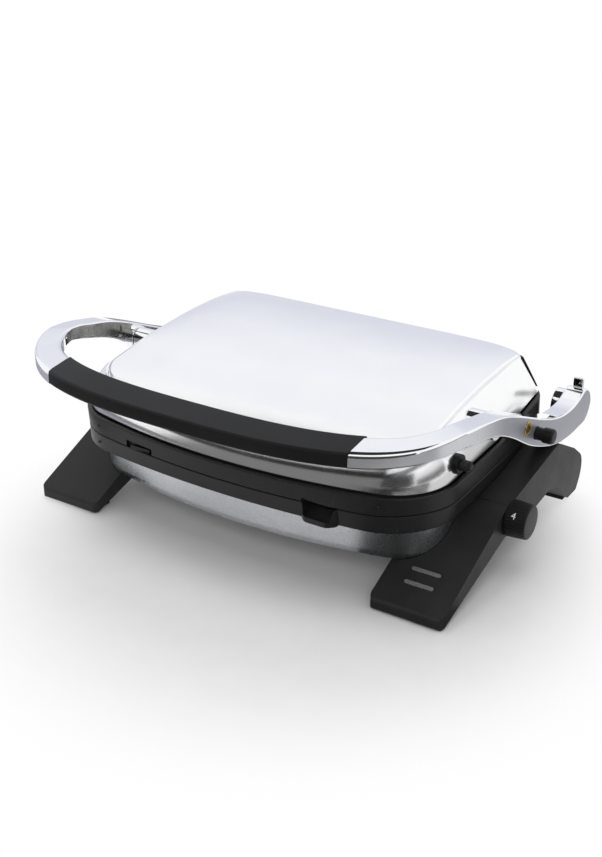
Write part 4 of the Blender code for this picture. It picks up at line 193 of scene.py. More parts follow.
# Outer side faces of the arms: a satin grain under a darker tone that is painted reflection
SATIN_PAINTED_SIDE_TILT = 0.30
SATIN_PAINTED_SIDE_START_Y = 0.020
SATIN_PAINTED_SIDE_END_Y = 0.090
SATIN_PAINTED_SIDE_METALLIC = 0.72
ARM_SHOULDER_ROUND = 0.0050
ARM_SHOULDER_Y = 0.0276
ARM_SHOULDER_TOP_Z = 0.1450
ARM_SHOULDER_BOTTOM_Z = 0.1335
HINGE_Y = 0.245
HINGE_Z = 0.081
TAIL_RADIUS = 0.0155
TAIL_END_Y = 0.2597
ARM_REACH = 0.2174
ARM_RISE = 0.0640
ARM_DEPTH = 0.0260
ARM_DROP_SHARES = ((0.0, 0.0), (0.08, 0.031), (0.15, 0.078), (0.22, 0.128), (0.29, 0.2), (0.36, 0.292),
                   (0.43, 0.391), (0.5, 0.495), (0.57, 0.597), (0.64, 0.691), (0.71, 0.773),
                   (0.78, 0.831), (0.85, 0.858), (0.91, 0.85), (0.96, 0.812), (1.0, 0.758))
ARM_DEPTH_SHARES = ((0.0, 0.442), (0.08, 0.5), (0.15, 0.531), (0.22, 0.588), (0.29, 0.662), (0.36, 0.742),
                    (0.43, 0.846), (0.5, 0.915), (0.6, 0.935), (0.75, 0.93), (0.85, 0.942),
                    (0.91, 0.988), (0.96, 1.065), (1.0, 1.192))
POCKET_START_Y = 0.0470
POCKET_END_Y = 0.0950
POCKET_MARGIN = 0.0030
POCKET_DEPTH = 0.0014
POCKET_ROUND = 0.0028
STOP_LUG_Y = 0.2485
STOP_LUG_HEIGHT = 0.0075
STOP_LUG_THICKNESS = 0.0030
STOP_LUG_WIDTH = 0.0085
STOP_LUG_SHIFT = 0.0010

# Pivots and hinge drums
PIVOT_Y = 0.108
PIVOT_Z = 0.1130
PIVOT_SPLIT_X = 0.1640
PIVOT_BOSS_RADIUS = 0.0095
PIVOT_BORE_RADIUS = 0.0056
PIVOT_SHOULDER_RADIUS = 0.0105
PIVOT_BOSS_START_X = 0.1500
DRUM_INNER_X = 0.1645
DRUM_RADIUS = 0.0120
DRUM_RECESS_RADIUS = 0.0096
DRUM_RECESS_DEPTH = 0.0045
POST_HALF_DEPTH = 0.0075
POST_FOOT_Z = 0.0300
TURNED_EDGE = 0.0006

# Controls
KNOB_X = 0.1894
KNOB_Y = 0.105
KNOB_Z = 0.0435
KNOB_RADIUS = 0.0143
KNOB_TIP_RADIUS = 0.0134
KNOB_LENGTH = 0.0170
KNOB_SKIRT = 0.0024
KNOB_FOOT_ROUND = 0.0012
KNOB_TIP_ROUND = 0.0014
KNOB_FLUTES = 36
KNOB_FLUTE_DEPTH = 0.00025
LOCK_Y = 0.1443
LOCK_Z = 0.0976
LOCK_PIN_RADIUS = 0.0022
FLOAT_DEGREES = 7.0
LOCK_NECK_RADIUS = 0.0050
LOCK_NECK_LENGTH = 0.0065
LOCK_HEAD_RADIUS = 0.0060
LOCK_HEAD_LENGTH = 0.0085
LOCK_NECK_ROUND = 0.0006
LOCK_BACK_ROUND = 0.0008
LOCK_HEAD_ROUND = 0.0022
RELEASE_Y = 0.0675
RELEASE_Z = 0.0965
RELEASE_WALL_X = 0.1622
BEZEL_RADIUS = 0.0075
BEZEL_THICKNESS = 0.0018
BEZEL_SEAT_DEPTH = 0.0060
BUTTON_RADIUS = 0.0042
BUTTON_HOLE_DEPTH = 0.0120
DISC_Y = 0.1262
DISC_Z = 0.1085
DISC_RADIUS = 0.0058
DISC_THICKNESS = 0.0012
DISC_SINK = 0.0005
DIAL_FIGURES = 6
DIAL_FIGURE_GAP = 2
DIAL_SHOWN = 4
DIAL_SHOWN_DEGREES = 145.0
DIAL_STEP_DEGREES = 54.0
DIAL_PLACE_SHARE = 0.42
DIAL_MARK_SIZE = 0.0074
DIAL_MARK_DEPTH = 0.00012

# Rear strip and hinge caps
REAR_STRIP_OFFSET = 0.0004
REAR_STRIP_THICKNESS = 0.0012
REAR_STRIP_WRAP = 0.0010
REAR_STRIP_MARGIN = 0.0016
CAP_RADIUS = 0.0092
CAP_SINK = 0.0006
CAP_THICKNESS = 0.0014
LOCK_WELL_DEPTH = 0.0060

# Camera, floor and light
FOCAL_PIXELS = 1263.0
PHOTO_HEIGHT = 857.0
SENSOR_HEIGHT = 36.0
CAMERA_SHIFT_Y = 0.0344
CAMERA_PLACE = (0.5056, -0.6782, 0.505)
CAMERA_TURN = (63.6, 0.0, 32.7)
FLOOR_REACH = 8.0
POOL_SHIFT = (-0.031, 0.063, 0.0)
FADE_START = 0.14
FADE_END = 0.31
WORLD_FILL = 0.62
WHITE = (1, 1, 1, 1)
# Name, place, aim, width, height and power
SOFT_BOXES = (
    ("key", (-0.9, 0.7, 1.6), (0, 0, 0.05), 1.3, 1.3, 11.0),
    ("top", (0.1, 0.0, 1.9), (0, 0, 0), 1.6, 1.4, 8.0),
    ("front", (0.9, -1.6, 1.3), (0, 0, 0.05), 1.4, 1.0, 4.5))
# Name, place, aim, width, height and the tones of the low and the high edge
CARDS = (
    ("overhead_card", (-0.2, -0.2, 2.0), (0, 0, 0.1), 2.1, 2.1, (0.03, 0.03, 0.03), (0.03, 0.03, 0.03)),
    ("back_card", (-1.35, 2.05, 1.35), (0, 0, 1.35), 5.0, 2.7, (0.70, 0.72, 0.80), (0.91, 0.925, 0.965)),
    ("front_card", (-0.9, -2.0, 0.8), (-0.9, 0, 0.8), 2.2, 1.6, (0.18, 0.18, 0.18), (0.18, 0.18, 0.18)),
    ("camera_card", (1.05, -1.9, 0.8), (0.2, 0, 0.8), 3.1, 1.6, (0.05, 0.05, 0.05), (0.05, 0.05, 0.05)),
    ("floor_card", (-0.75, -1.10, 0.0015), (-0.75, -1.10, 1.0), 1.70, 1.70, (0.17, 0.17, 0.175),
     (0.17, 0.17, 0.175)),
    ("corner_card", (0.69, -0.92, 0.002), (0.69, -0.92, 1.0), 1.20, 1.70, (0.03, 0.03, 0.03),
     (0.03, 0.03, 0.03)),
    ("right_card", (1.9, 0.2, 0.5), (0.2, 0.0, 0.5), 2.2, 1.0, (0.12, 0.12, 0.122), (0.78, 0.78, 0.79)),
    ("side_card", (0.53, 0.14, 0.002), (0.53, 0.14, 1.0), 0.60, 0.95, (0.60, 0.60, 0.60), (0.60, 0.60, 0.60)),
    ("left_card", (-0.55, 0.2, 0.002), (-0.55, 0.2, 1.0), 0.5, 0.9, (0.30, 0.30, 0.36), (0.30, 0.30, 0.36)))

# Finishes: where noise values and tints begin and end, and the colour sockets of a mix node
NOISE_LOW = 0.35
NOISE_HIGH = 0.65
TINT_STOPS = (0.3, 0.7)
MIX_FIRST_COLOUR = 6
MIX_SECOND_COLOUR = 7
MIX_COLOUR_RESULT = 2

# Mesh fineness
FRONT_STEPS = 22
CORNER_STEPS = 14
SIDE_STEPS = 20
REAR_STEPS = 12
FILLET_STEPS = 5
TURN_STEPS = 72
MERGE_DISTANCE = 0.00001
SMALLEST_RADIUS = 0.004
AXIS_RADIUS = 0.0002
CORNER_SHARE = 0.49
NEARLY_ALL = 0.995
NORMAL_WEIGHT = 90
OVERRUN = 0.004

Plan = namedtuple("Plan", "half_width front back bow front_radius rear_radius")
SPLIT_PLAN = Plan(0.1674, 0.0155, 0.2360, 0.0220, 0.047, 0.0300)
LOWER_RIM_PLAN = Plan(0.1660, 0.0136, 0.2335, 0.0166, 0.047, 0.0275)
UPPER_RIM_PLAN = Plan(0.1666, 0.0179, 0.2335, 0.0257, 0.040, 0.0275)
LID_PLAN = Plan(0.1623, 0.0212, LID_BACK_Y, 0.0248, 0.035, 0.008)
CREASE_PLAN = Plan(CREASE_HALF_WIDTH, CREASE_FRONT_Y, CREASE_BACK_Y, CREASE_BOW, 0.018, 0.006)
SHELL_TOP_PLAN = Plan(0.1570, 0.0365, 0.2285, 0.0235, 0.0280, 0.026)
SHELL_CREASE_PLAN = Plan(0.1570, 0.0370, 0.2285, 0.0238, 0.0275, 0.026)
SHELL_BOTTOM_PLAN = Plan(0.1550, 0.0385, 0.2250, 0.0240, 0.0260, 0.026)

X_AXIS = (math.pi / 2, 0, math.pi / 2)
Z_AXIS = (0, 0, 0)
SIDES = (("right", 1), ("left", -1))


# Materials

class NodeWork:
    """One node tree, with short ways to add a node together with its values and sources."""

    def __init__(self, tree):
        self.nodes = tree.nodes
        self.links = tree.links

    def feed(self, node, inputs):
        """Set each named socket to its value, or link it where its value is another socket."""
        for name, value in inputs.items():
            if isinstance(value, bpy.types.NodeSocket):
                self.links.new(value, node.inputs[name])
            else:
                node.inputs[name].default_value = value

    def add(self, kind, inputs=None):
        node = self.nodes.new("ShaderNode" + kind)
        self.feed(node, inputs or {})
        return node

    def place(self):
        return self.add("TexCoord").outputs["Object"]

    def maths(self, operation, first, second):
        node = self.add("Math", {0: first, 1: second})
        node.operation = operation
        return node.outputs[0]

    def noise(self, scale, stretch=(1, 1, 1), detail=4.0, roughness=0.6):
        """A noise value laid over the object's own coordinates, stretched along an axis where asked."""
        mapping = self.add("Mapping", {"Vector": self.place(), "Scale": stretch})
        return self.add("TexNoise", {"Vector": mapping.outputs["Vector"], "Scale": scale, "Detail": detail,
                                     "Roughness": roughness}).outputs["Fac"]

    def spread(self, value, low, high, from_low=NOISE_LOW, from_high=NOISE_HIGH):
        """Map a value, by default a noise's, to a range."""
        return self.add("MapRange", {"Value": value, "From Min": from_low, "From Max": from_high,
                                     "To Min": low, "To Max": high}).outputs["Result"]

    def tint(self, value, dark, light):
        """A tone between two colours, led by a value."""
        node = self.add("ValToRGB", {"Fac": value})
        for element, position, colour in zip(node.color_ramp.elements, TINT_STOPS, (dark, light)):
            element.position = position
            element.color = (*colour, 1)
        return node.outputs["Color"]

    def bump(self, shader, value, distance, strength, under=None):
        inputs = {"Height": value, "Distance": distance, "Strength": strength}
        if under:
            inputs["Normal"] = under
        normal = self.add("Bump", inputs).outputs["Normal"]
        self.feed(shader, {"Normal": normal})
        return normal


def new_material(name):
    material = bpy.data.materials.new(name)
    material.use_nodes = True
    work = NodeWork(material.node_tree)
    return material, work, work.nodes["Principled BSDF"]


def brushed_steel(name, dark, light, low_rough, high_rough):
    """Sheet steel brushed along X: fine streaks in gloss and height over faint clouding in tone."""
    material, work, shader = new_material(name)
    streaks = work.noise(scale=2600, stretch=(0.012, 1, 1), detail=3.0, roughness=0.7)
    clouds = work.noise(scale=22, detail=2.0)
    work.feed(shader, {"Metallic": 1.0, "Base Color": work.tint(clouds, dark, light),
                       "Roughness": work.spread(streaks, low_rough, high_rough)})
    work.bump(shader, streaks, distance=0.00002, strength=0.25)
    return material


def polished_chrome(name, colour, roughness):
    """Plated casting: near mirror, with the faint unevenness of polishing and a few dull patches."""
    material, work, shader = new_material(name)
    waves = work.noise(scale=60, detail=2.0)
    haze = work.noise(scale=900, detail=5.0)
    shade = tuple(0.97 * value for value in colour)
    work.feed(shader, {"Metallic": 1.0, "Base Color": work.tint(waves, shade, colour),
                       "Roughness": work.spread(haze, roughness * 0.7, roughness * 1.6)})
    work.bump(shader, waves, distance=0.0004, strength=0.05)
    return material


def moulded_plastic(name, dark, light, roughness, grain=2200, depth=0.00006, strength=0.35, gloss=0.25):
    """Moulded plastic with a spark-eroded grain and slow changes of tone and gloss."""
    material, work, shader = new_material(name)
    pits = work.noise(scale=grain)
    patches = work.noise(scale=30, detail=3.0)
    work.feed(shader, {"Base Color": work.tint(patches, dark, light), "Specular IOR Level": gloss,
                       "Roughness": work.spread(patches, roughness * 0.9, roughness * 1.1)})
    work.bump(shader, pits, depth, strength)
    return material


def coated_casting(name, dark, light):
    """Die-cast aluminium under a sprayed non-stick coat: orange peel, fine specks and a soft sheen."""
    material, work, shader = new_material(name)
    peel = work.noise(scale=850, detail=3.0, roughness=0.55)
    specks = work.add("TexVoronoi", {"Vector": work.place(), "Scale": 1600})
    work.feed(shader, {"Base Color": work.tint(peel, dark, light), "Specular IOR Level": 0.3,
                       "Roughness": work.spread(peel, 0.30, 0.44)})
    pitted = work.bump(shader, specks.outputs["Distance"], distance=0.00008, strength=0.2)
    work.bump(shader, peel, distance=0.00014, strength=0.5, under=pitted)
    return material


def satin_side(name, bright, dark, light):
    """The arms' outer side: bright at the front corner, turning darker and duller towards the hinge over a
    satin grain. The darker tone is painted reflection, standing in for the grey that this side reflects.
    """
    material, work, shader = new_material(name)
    grain = work.noise(scale=900, stretch=(1, 0.03, 1), detail=5.0)
    split = work.add("SeparateXYZ", {"Vector": work.place()})
    reach = work.add("MapRange", {"Value": split.outputs["Y"], "From Min": SATIN_PAINTED_SIDE_START_Y + SHIFT_Y,
                                  "From Max": SATIN_PAINTED_SIDE_END_Y + SHIFT_Y})
    reach.interpolation_type = "SMOOTHSTEP"
    share = reach.outputs["Result"]
    blend = work.add("Mix")
    blend.data_type = "RGBA"
    work.feed(blend, {"Factor": share, MIX_FIRST_COLOUR: (*bright, 1),
                      MIX_SECOND_COLOUR: work.tint(grain, dark, light)})
    work.feed(shader, {"Metallic": SATIN_PAINTED_SIDE_METALLIC, "Base Color": blend.outputs[MIX_COLOUR_RESULT],
                       "Roughness": work.spread(share, 0.26, 0.36, 0.0, 1.0)})
    work.bump(shader, grain, distance=0.00002, strength=0.3)
    return material


def plated_metal(name, dark, light, roughness, scale=240):
    """Dull zinc or bare sheet, with the mottled crystals of its plating."""
    material, work, shader = new_material(name)
    mottle = work.noise(scale, detail=5.0)
    work.feed(shader, {"Metallic": 1.0, "Base Color": work.tint(mottle, dark, light),
                       "Roughness": work.spread(mottle, roughness * 0.8, roughness * 1.3)})
    work.bump(shader, mottle, distance=0.00005, strength=0.2)
    return material


def frosted_lens(name, dark, light):
    """Milky plastic over an unlit lamp."""
    material, work, shader = new_material(name)
    grain = work.noise(scale=1400, detail=3.0)
    work.feed(shader, {"Base Color": work.tint(grain, dark, light), "Transmission Weight": 0.15,
                       "Subsurface Weight": 0.2, "Subsurface Scale": 0.002,
                       "Roughness": work.spread(grain, 0.22, 0.36)})
    work.bump(shader, grain, distance=0.00004, strength=0.2)
    return material


STEEL_LID = brushed_steel("steel_lid", (0.95, 0.955, 0.965), (0.985, 0.985, 0.99), 0.17, 0.24)
STEEL_SHELL = brushed_steel("steel_shell", (0.62, 0.635, 0.66), (0.68, 0.695, 0.72), 0.24, 0.32)
CHROME = polished_chrome("chrome_plate", (0.94, 0.945, 0.96), 0.045)
# Inner faces of the arms: chrome darkened to a dark grey that is painted reflection
INNER_PAINTED_REFLECTION = plated_metal("inner_painted_reflection", (0.16, 0.16, 0.15), (0.34, 0.335, 0.31), 0.24, 90)
# Outer side of the arms: a satin grain, and a grey base tone that is painted reflection
SATIN_PAINTED_SIDE = satin_side("satin_side", (0.84, 0.85, 0.88), (0.38, 0.39, 0.44), (0.43, 0.44, 0.49))
BLACK_GRIP = moulded_plastic("grip_moulding", (0.010, 0.010, 0.0105), (0.013, 0.013, 0.0135), 0.42,
                             grain=3000, depth=0.00003, strength=0.3, gloss=0.17)
BLACK_PLASTIC = moulded_plastic("leg_moulding", (0.021, 0.021, 0.0215), (0.028, 0.028, 0.0285), 0.50)
BLACK_KNOB = moulded_plastic("knob_moulding", (0.008, 0.008, 0.008), (0.011, 0.011, 0.011), 0.40,
                             grain=3200)
CAST = coated_casting("coated_casting", (0.012, 0.012, 0.012), (0.019, 0.019, 0.0185))
RUBBER = moulded_plastic("rubber_pad", (0.016, 0.016, 0.016), (0.022, 0.022, 0.022), 0.85,
                         grain=900, depth=0.0002, strength=0.5)
LENS = frosted_lens("lens_frosted", (0.17, 0.17, 0.17), (0.25, 0.25, 0.245))
BRASS = plated_metal("brass_disc_finish", (0.60, 0.42, 0.12), (0.68, 0.50, 0.18), 0.28, 500)
ZINC = plated_metal("zinc_plate", (0.45, 0.46, 0.47), (0.58, 0.59, 0.60), 0.36)
ALUMINIUM = plated_metal("aluminium_sheet", (0.66, 0.67, 0.68), (0.74, 0.75, 0.76), 0.34, 120)
IVORY = moulded_plastic("ivory_moulding", (0.55, 0.52, 0.44), (0.62, 0.59, 0.50), 0.5)
DIAL_WHITE = moulded_plastic("dial_print", (0.68, 0.68, 0.66), (0.76, 0.76, 0.74), 0.5)
NODE_FINISH = {"brushed_steel": STEEL_SHELL, "chrome": CHROME, "black_grip": BLACK_GRIP,
               "black_plastic": BLACK_PLASTIC, "coated_casting": CAST, "rubber": RUBBER, "lens": LENS,
               "brass": BRASS, "zinc_plate": ZINC, "aluminium_sheet": ALUMINIUM, "ivory_plastic": IVORY}


# Meshes

def mesh_object(name, bm):
    bm.normal_update()
    bmesh.ops.recalc_face_normals(bm, faces=bm.faces)
    mesh = bpy.data.meshes.new(name)
    bm.to_mesh(mesh)
    bm.free()
    obj = bpy.data.objects.new(name, mesh)
    bpy.context.scene.collection.objects.link(obj)
    return obj


def loft_into(bm, rings, wrap=False):
    layers = [[bm.verts.new(point) for point in ring] for ring in rings]
    pairs = list(zip(layers, layers[1:]))
    if wrap:
        pairs.append((layers[-1], layers[0]))
    count = len(layers[0])
    for low, high in pairs:
        for i in range(count):
            j = (i + 1) % count
            bm.faces.new((low[i], low[j], high[j], high[i]))
    if not wrap:
        bm.faces.new(layers[0])
        bm.faces.new(layers[-1])


def loft(name, rings, wrap=False):
    bm = bmesh.new()
    loft_into(bm, rings, wrap)
    return mesh_object(name, bm)


def evaluated_mesh(obj):
    bpy.context.view_layer.update()
    return bpy.data.meshes.new_from_object(obj.evaluated_get(bpy.context.evaluated_depsgraph_get()))


def applied(obj):
    """Replace an object's mesh by what its modifiers make of it."""
    mesh = evaluated_mesh(obj)
    obj.modifiers.clear()
    obj.data = mesh
    return obj


def combined(obj, tool, operation):
    """Run one exact boolean and drop the tool."""
    modifier = obj.modifiers.new("shape", "BOOLEAN")
    modifier.operation = operation
    modifier.solver = "EXACT"
    modifier.object = tool
    applied(obj)
    bpy.data.objects.remove(tool, do_unlink=True)
    return obj


def cut(obj, tool):
    return combined(obj, tool, "DIFFERENCE")


def join(obj, tool):
    return combined(obj, tool, "UNION")


def common(obj, tool):
    return combined(obj, tool, "INTERSECT")


def bevelled(obj, width, segments=3, degrees=40.0):
    modifier = obj.modifiers.new("edges", "BEVEL")
    modifier.width = width
    modifier.segments = segments
    modifier.limit_method = "ANGLE"
    modifier.angle_limit = math.radians(degrees)
    return applied(obj)


def slab(name, outline, turn, low, high):
    """A flat outline filled and extruded along the axis that its turn names."""
    curve = bpy.data.curves.new(name, "CURVE")
    curve.dimensions = "2D"
    curve.fill_mode = "BOTH"
    curve.extrude = (high - low) / 2
    spline = curve.splines.new("POLY")
    spline.points.add(len(outline) - 1)
    for point, (across, up) in zip(spline.points, outline):
        point.co = (across, up, 0, 1)
    spline.use_cyclic_u = True
    obj = bpy.data.objects.new(name, curve)
    bpy.context.scene.collection.objects.link(obj)
    obj.rotation_euler = turn
    middle = (high + low) / 2
    obj.location = (middle, 0, 0) if turn == X_AXIS else (0, 0, middle)
    bm = bmesh.new()
    bm.from_mesh(evaluated_mesh(obj))
    bmesh.ops.remove_doubles(bm, verts=bm.verts, dist=MERGE_DISTANCE)
    bmesh.ops.transform(bm, matrix=obj.matrix_world, verts=bm.verts)
    bpy.data.objects.remove(obj, do_unlink=True)
    return mesh_object(name, bm)


def block(name, low, high):
    bm = bmesh.new()
    bmesh.ops.create_cube(bm, size=1.0)
    for vert in bm.verts:
        vert.co = [low[k] + (vert.co[k] + 0.5) * (high[k] - low[k]) for k in range(3)]
    return mesh_object(name, bm)


def turned(name, profile, place, side=1, steps=TURN_STEPS, flutes=0, flute_depth=0.0, wrap=False):
    """A solid of revolution about X from (radius, distance) points, with shallow flutes if asked."""
    bm = bmesh.new()
    rings = []
    for radius, along in profile:
        ring = []
        for i in range(steps):
            a = 2 * math.pi * i / steps
            r = radius
            if flutes and radius > flute_depth:
                r -= flute_depth * (0.5 - 0.5 * math.cos(flutes * a))
            ring.append((place[0] + side * along, place[1] + r * math.cos(a), place[2] + r * math.sin(a)))
        rings.append(ring)
    loft_into(bm, rings, wrap)
    return mesh_object(name, bm)


def corner_legs(corner, neighbours):
    """Unit direction and length from a corner to each of its neighbours."""
    legs = []
    for other in neighbours:
        dx, dy = other[0] - corner[0], other[1] - corner[1]
        length = math.hypot(dx, dy)
        legs.append((dx / length, dy / length, length))
    return legs


def softened(points, steps=3):
    """Round the inner corners of an open profile of (across, along, radius) points."""
    out = []
    for i, (x, y, radius) in enumerate(points):
        if i in (0, len(points) - 1) or radius == 0:
            out.append((x, y))
            continue
        first, second = corner_legs((x, y), (points[i - 1], points[i + 1]))
        reach = min(radius, first[2] * CORNER_SHARE, second[2] * CORNER_SHARE)
        for k in range(steps + 1):
            t = k / steps
            a, b = (1 - t) ** 2, t ** 2
            out.append((x + reach * (a * first[0] + b * second[0]),
                        y + reach * (a * first[1] + b * second[1])))
    return out


def spun(points, steps=3):
    """A softened profile closed onto the axis at both of its ends."""
    return softened([(AXIS_RADIUS, points[0][1], 0), *points, (AXIS_RADIUS, points[-1][1], 0)], steps)


def rounded(corners, steps=10):
    """A closed outline through corners of (across, up, radius), each turned into an arc."""
    outline = []
    count = len(corners)
    for i, (x, y, radius) in enumerate(corners):
        first, second = corner_legs((x, y), (corners[i - 1], corners[(i + 1) % count]))
        cosine = max(-1.0, min(1.0, first[0] * second[0] + first[1] * second[1]))
        half_angle = math.acos(cosine) / 2
        reach = min(radius / math.tan(half_angle), first[2] / 2, second[2] / 2)
        radius = reach * math.tan(half_angle)
        if radius <= 0 or half_angle > math.pi / 2 * NEARLY_ALL:
            outline.append((x, y))
            continue
        bisector = (first[0] + second[0], first[1] + second[1])
        scale = radius / math.sin(half_angle) / math.hypot(*bisector)
        centre = (x + bisector[0] * scale, y + bisector[1] * scale)
        start, end = (math.atan2(y + leg[1] * reach - centre[1], x + leg[0] * reach - centre[0])
                      for leg in (first, second))
        sweep = (end - start + math.pi) % (2 * math.pi) - math.pi
        for k in range(steps + 1):
            a = start + sweep * k / steps
            outline.append((centre[0] + radius * math.cos(a), centre[1] + radius * math.sin(a)))
    return outline


def ramp(value, start, end):
    share = min(max((value - start) / (end - start), 0.0), 1.0)
    return share * share * (3 - 2 * share)


def eased(table, share):
    """Read a smooth curve through a table of (share, value) pairs."""
    xs, ys = zip(*table)
    share = min(max(share, xs[0]), xs[-1])
    k = max(i for i in range(len(xs) - 1) if xs[i] <= share)
    slopes = []
    for i in (k, k + 1):
        low, high = max(i - 1, 0), min(i + 1, len(xs) - 1)
        slopes.append((ys[high] - ys[low]) / (xs[high] - xs[low]))
    width = xs[k + 1] - xs[k]
    t = (share - xs[k]) / width
    return (ys[k] * (1 + 2 * t) * (1 - t) ** 2 + slopes[0] * width * t * (1 - t) ** 2
            + ys[k + 1] * t * t * (3 - 2 * t) + slopes[1] * width * t * t * (t - 1))


def plan_points(plan, inset=0.0):
    """Plan outline seen from above, anticlockwise from the middle of the bowed front."""
    half = plan.half_width - inset
    front = plan.front + inset
    back = plan.back - inset
    front_radius = max(plan.front_radius - inset, SMALLEST_RADIUS)
    rear_radius = max(plan.rear_radius - inset, SMALLEST_RADIUS)
    side_start = front + front_radius
    side_end = back - rear_radius
    turns = [math.pi / 2 * i / CORNER_STEPS for i in range(CORNER_STEPS + 1)]
    right = [((half - front_radius) * i / FRONT_STEPS, front) for i in range(FRONT_STEPS)]
    right += [(half - front_radius * (1 - math.sin(a)), front + front_radius * (1 - math.cos(a)))
              for a in turns]
    right += [(half, side_start + (side_end - side_start) * i / SIDE_STEPS) for i in range(1, SIDE_STEPS)]
    right += [(half - rear_radius * (1 - math.cos(a)), back - rear_radius * (1 - math.sin(a))) for a in turns]
    right += [((half - rear_radius) * (1 - i / REAR_STEPS), back) for i in range(1, REAR_STEPS + 1)]
    shaped = []
    for x, y in right:
        if y > side_start:
            x *= 1 - TAPER_SHARE * (y - side_start) / half
        front_share = max(0.0, 1 - (y - front) / (back - front)) ** 2
        y -= plan.bow * (1 - (x / half) ** 2) * (front_share if y > side_start else 1.0)
        shaped.append((x, y))
    return shaped + [(-x, y) for x, y in shaped[-2:0:-1]]


def plan_ring(plan, z, inset=0.0):
    return [(x, y, z(x, y) if callable(z) else z) for x, y in plan_points(plan, inset)]


# Lid surfaces

def rear_lift(y):
    return LID_REAR_LIFT * ramp(y, LID_REAR_LIFT_START_Y, LID_BACK_Y)


def lid_bottom(x, y):
    return LID_BOTTOM_Z + rear_lift(y)


def lid_arch(x, y):
    front = CREASE_FRONT_Y - CREASE_BOW
    return LID_BOTTOM_Z + LID_HEIGHT * eased(LID_ARCH_SHARES, (y - front) / (CREASE_BACK_Y - front))


def lid_top(x, y):
    across = min(abs(x) / CREASE_HALF_WIDTH, 1.0)
    crown = LID_CROWN * ramp(y, LID_CROWN_START_Y, LID_CROWN_END_Y)
    return lid_arch(x, y) + crown * (1 - across ** LID_CROWN_POWER)


def skin_ring(bottom, crease, across, up):
    """A ring between the lid's bottom edge and its crease: bulging at front and sides, flat at the rear."""
    ring = []
    for a, b in zip(bottom, crease):
        depth = across + (up - across) * ramp(a[1], *REAR_FLAT_Y)
        width = across + (up - across) * ramp(a[1], *SIDE_FLAT_Y)
        ring.append([p + (q - p) * share for p, q, share in zip(a, b, (width, depth, up))])
    return ring


def lid_rings(offset=0.0, groove=False):
    """Rings of the lid's skin from its bottom edge over the crease to the middle of its top."""
    bottom = plan_ring(LID_PLAN, lid_bottom, -offset)
    crease = [(x, y, z + offset) for x, y, z in plan_ring(CREASE_PLAN, lid_top, -offset)]
    sweep = math.radians(LID_SWEEP_DEGREES)
    rings = []
    for i in range(LID_SIDE_STEPS):
        a = sweep * i / LID_SIDE_STEPS
        rings.append(skin_ring(bottom, crease, (1 - math.cos(a)) / (1 - math.cos(sweep)),
                               math.sin(a) / math.sin(sweep)))
    rolled = [(x, y, z - CREASE_ROLL) for x, y, z in crease]
    if groove:
        sunk = plan_points(CREASE_PLAN, CREASE_GROOVE - offset)
        rings.append([(x, y, z - CREASE_ROLL - CREASE_GROOVE * 1.6) for x, y, z in crease])
        for drop in (1.3, 0.3):
            rings.append([(x, y, low[2] - CREASE_GROOVE * drop) for (x, y), low in zip(sunk, rolled)])
    inner = plan_points(CREASE_PLAN, CREASE_FILLET - offset)
    top = [(x, y, lid_top(x, y) + offset) for x, y in inner]
    for t in (0.0, 0.25, 0.5, 0.75, 1.0):
        lift = math.sin(math.pi / 2 * t)
        rings.append([(p[0] + (q[0] - p[0]) * t, p[1] + (q[1] - p[1]) * t, p[2] + (q[2] - p[2]) * lift)
                      for p, q in zip(rolled, top)])
    middle_y = (CREASE_FRONT_Y + CREASE_BACK_Y) / 2
    for i in range(1, LID_TOP_STEPS):
        scale = 1 - i / LID_TOP_STEPS
        ring = [(x * scale, middle_y + (y - middle_y) * scale) for x, y in inner]
        rings.append([(x, y, lid_top(x, y) + offset) for x, y in ring])
    return rings


# Handle surfaces

def corner_power(a, wave):
    value = wave(a)
    return math.copysign(abs(value) ** (2 / HANDLE_POWER), value)


def handle_edge(a, half_width, front_y):
    depth = HANDLE_SHOULDER_Y - front_y
    return half_width * corner_power(a, math.sin), HANDLE_SHOULDER_Y - depth * corner_power(a, math.cos)


def handle_outer(a):
    return handle_edge(a, LEG_OUTER_X, HANDLE_FRONT_Y)


def handle_inner(a):
    return handle_edge(a, ARM_INNER_X, HANDLE_INNER_FRONT_Y)


def handle_angle(x, half):
    return math.asin((abs(x) / half) ** (HANDLE_POWER / 2))


def handle_crossing(x):
    """Where a plane square to the grip meets the handle's outer and inner edge."""
    outer = handle_outer(math.copysign(handle_angle(x, LEG_OUTER_X), x))
    inner = handle_inner(math.copysign(handle_angle(x, ARM_INNER_X), x))
    return outer, inner


def handle_section(outer, inner, bottom, outer_top, inner_top, radius, lower_radius, steps=6):
    width = math.hypot(inner[0] - outer[0], inner[1] - outer[1])
    flat = rounded([(0, bottom, lower_radius), (width, bottom, lower_radius), (width, inner_top, radius),
                    (0, outer_top, radius)], steps)
    return [(outer[0] + (inner[0] - outer[0]) * u / width, outer[1] + (inner[1] - outer[1]) * u / width, z)
            for u, z in flat]


def arm_top(y):
    return ARM_SHOULDER_TOP_Z - ARM_RISE * eased(ARM_DROP_SHARES, (y - ARM_SHOULDER_Y) / ARM_REACH)


def arm_bottom(y):
    return arm_top(y) - ARM_DEPTH * eased(ARM_DEPTH_SHARES, (y - ARM_SHOULDER_Y) / ARM_REACH)


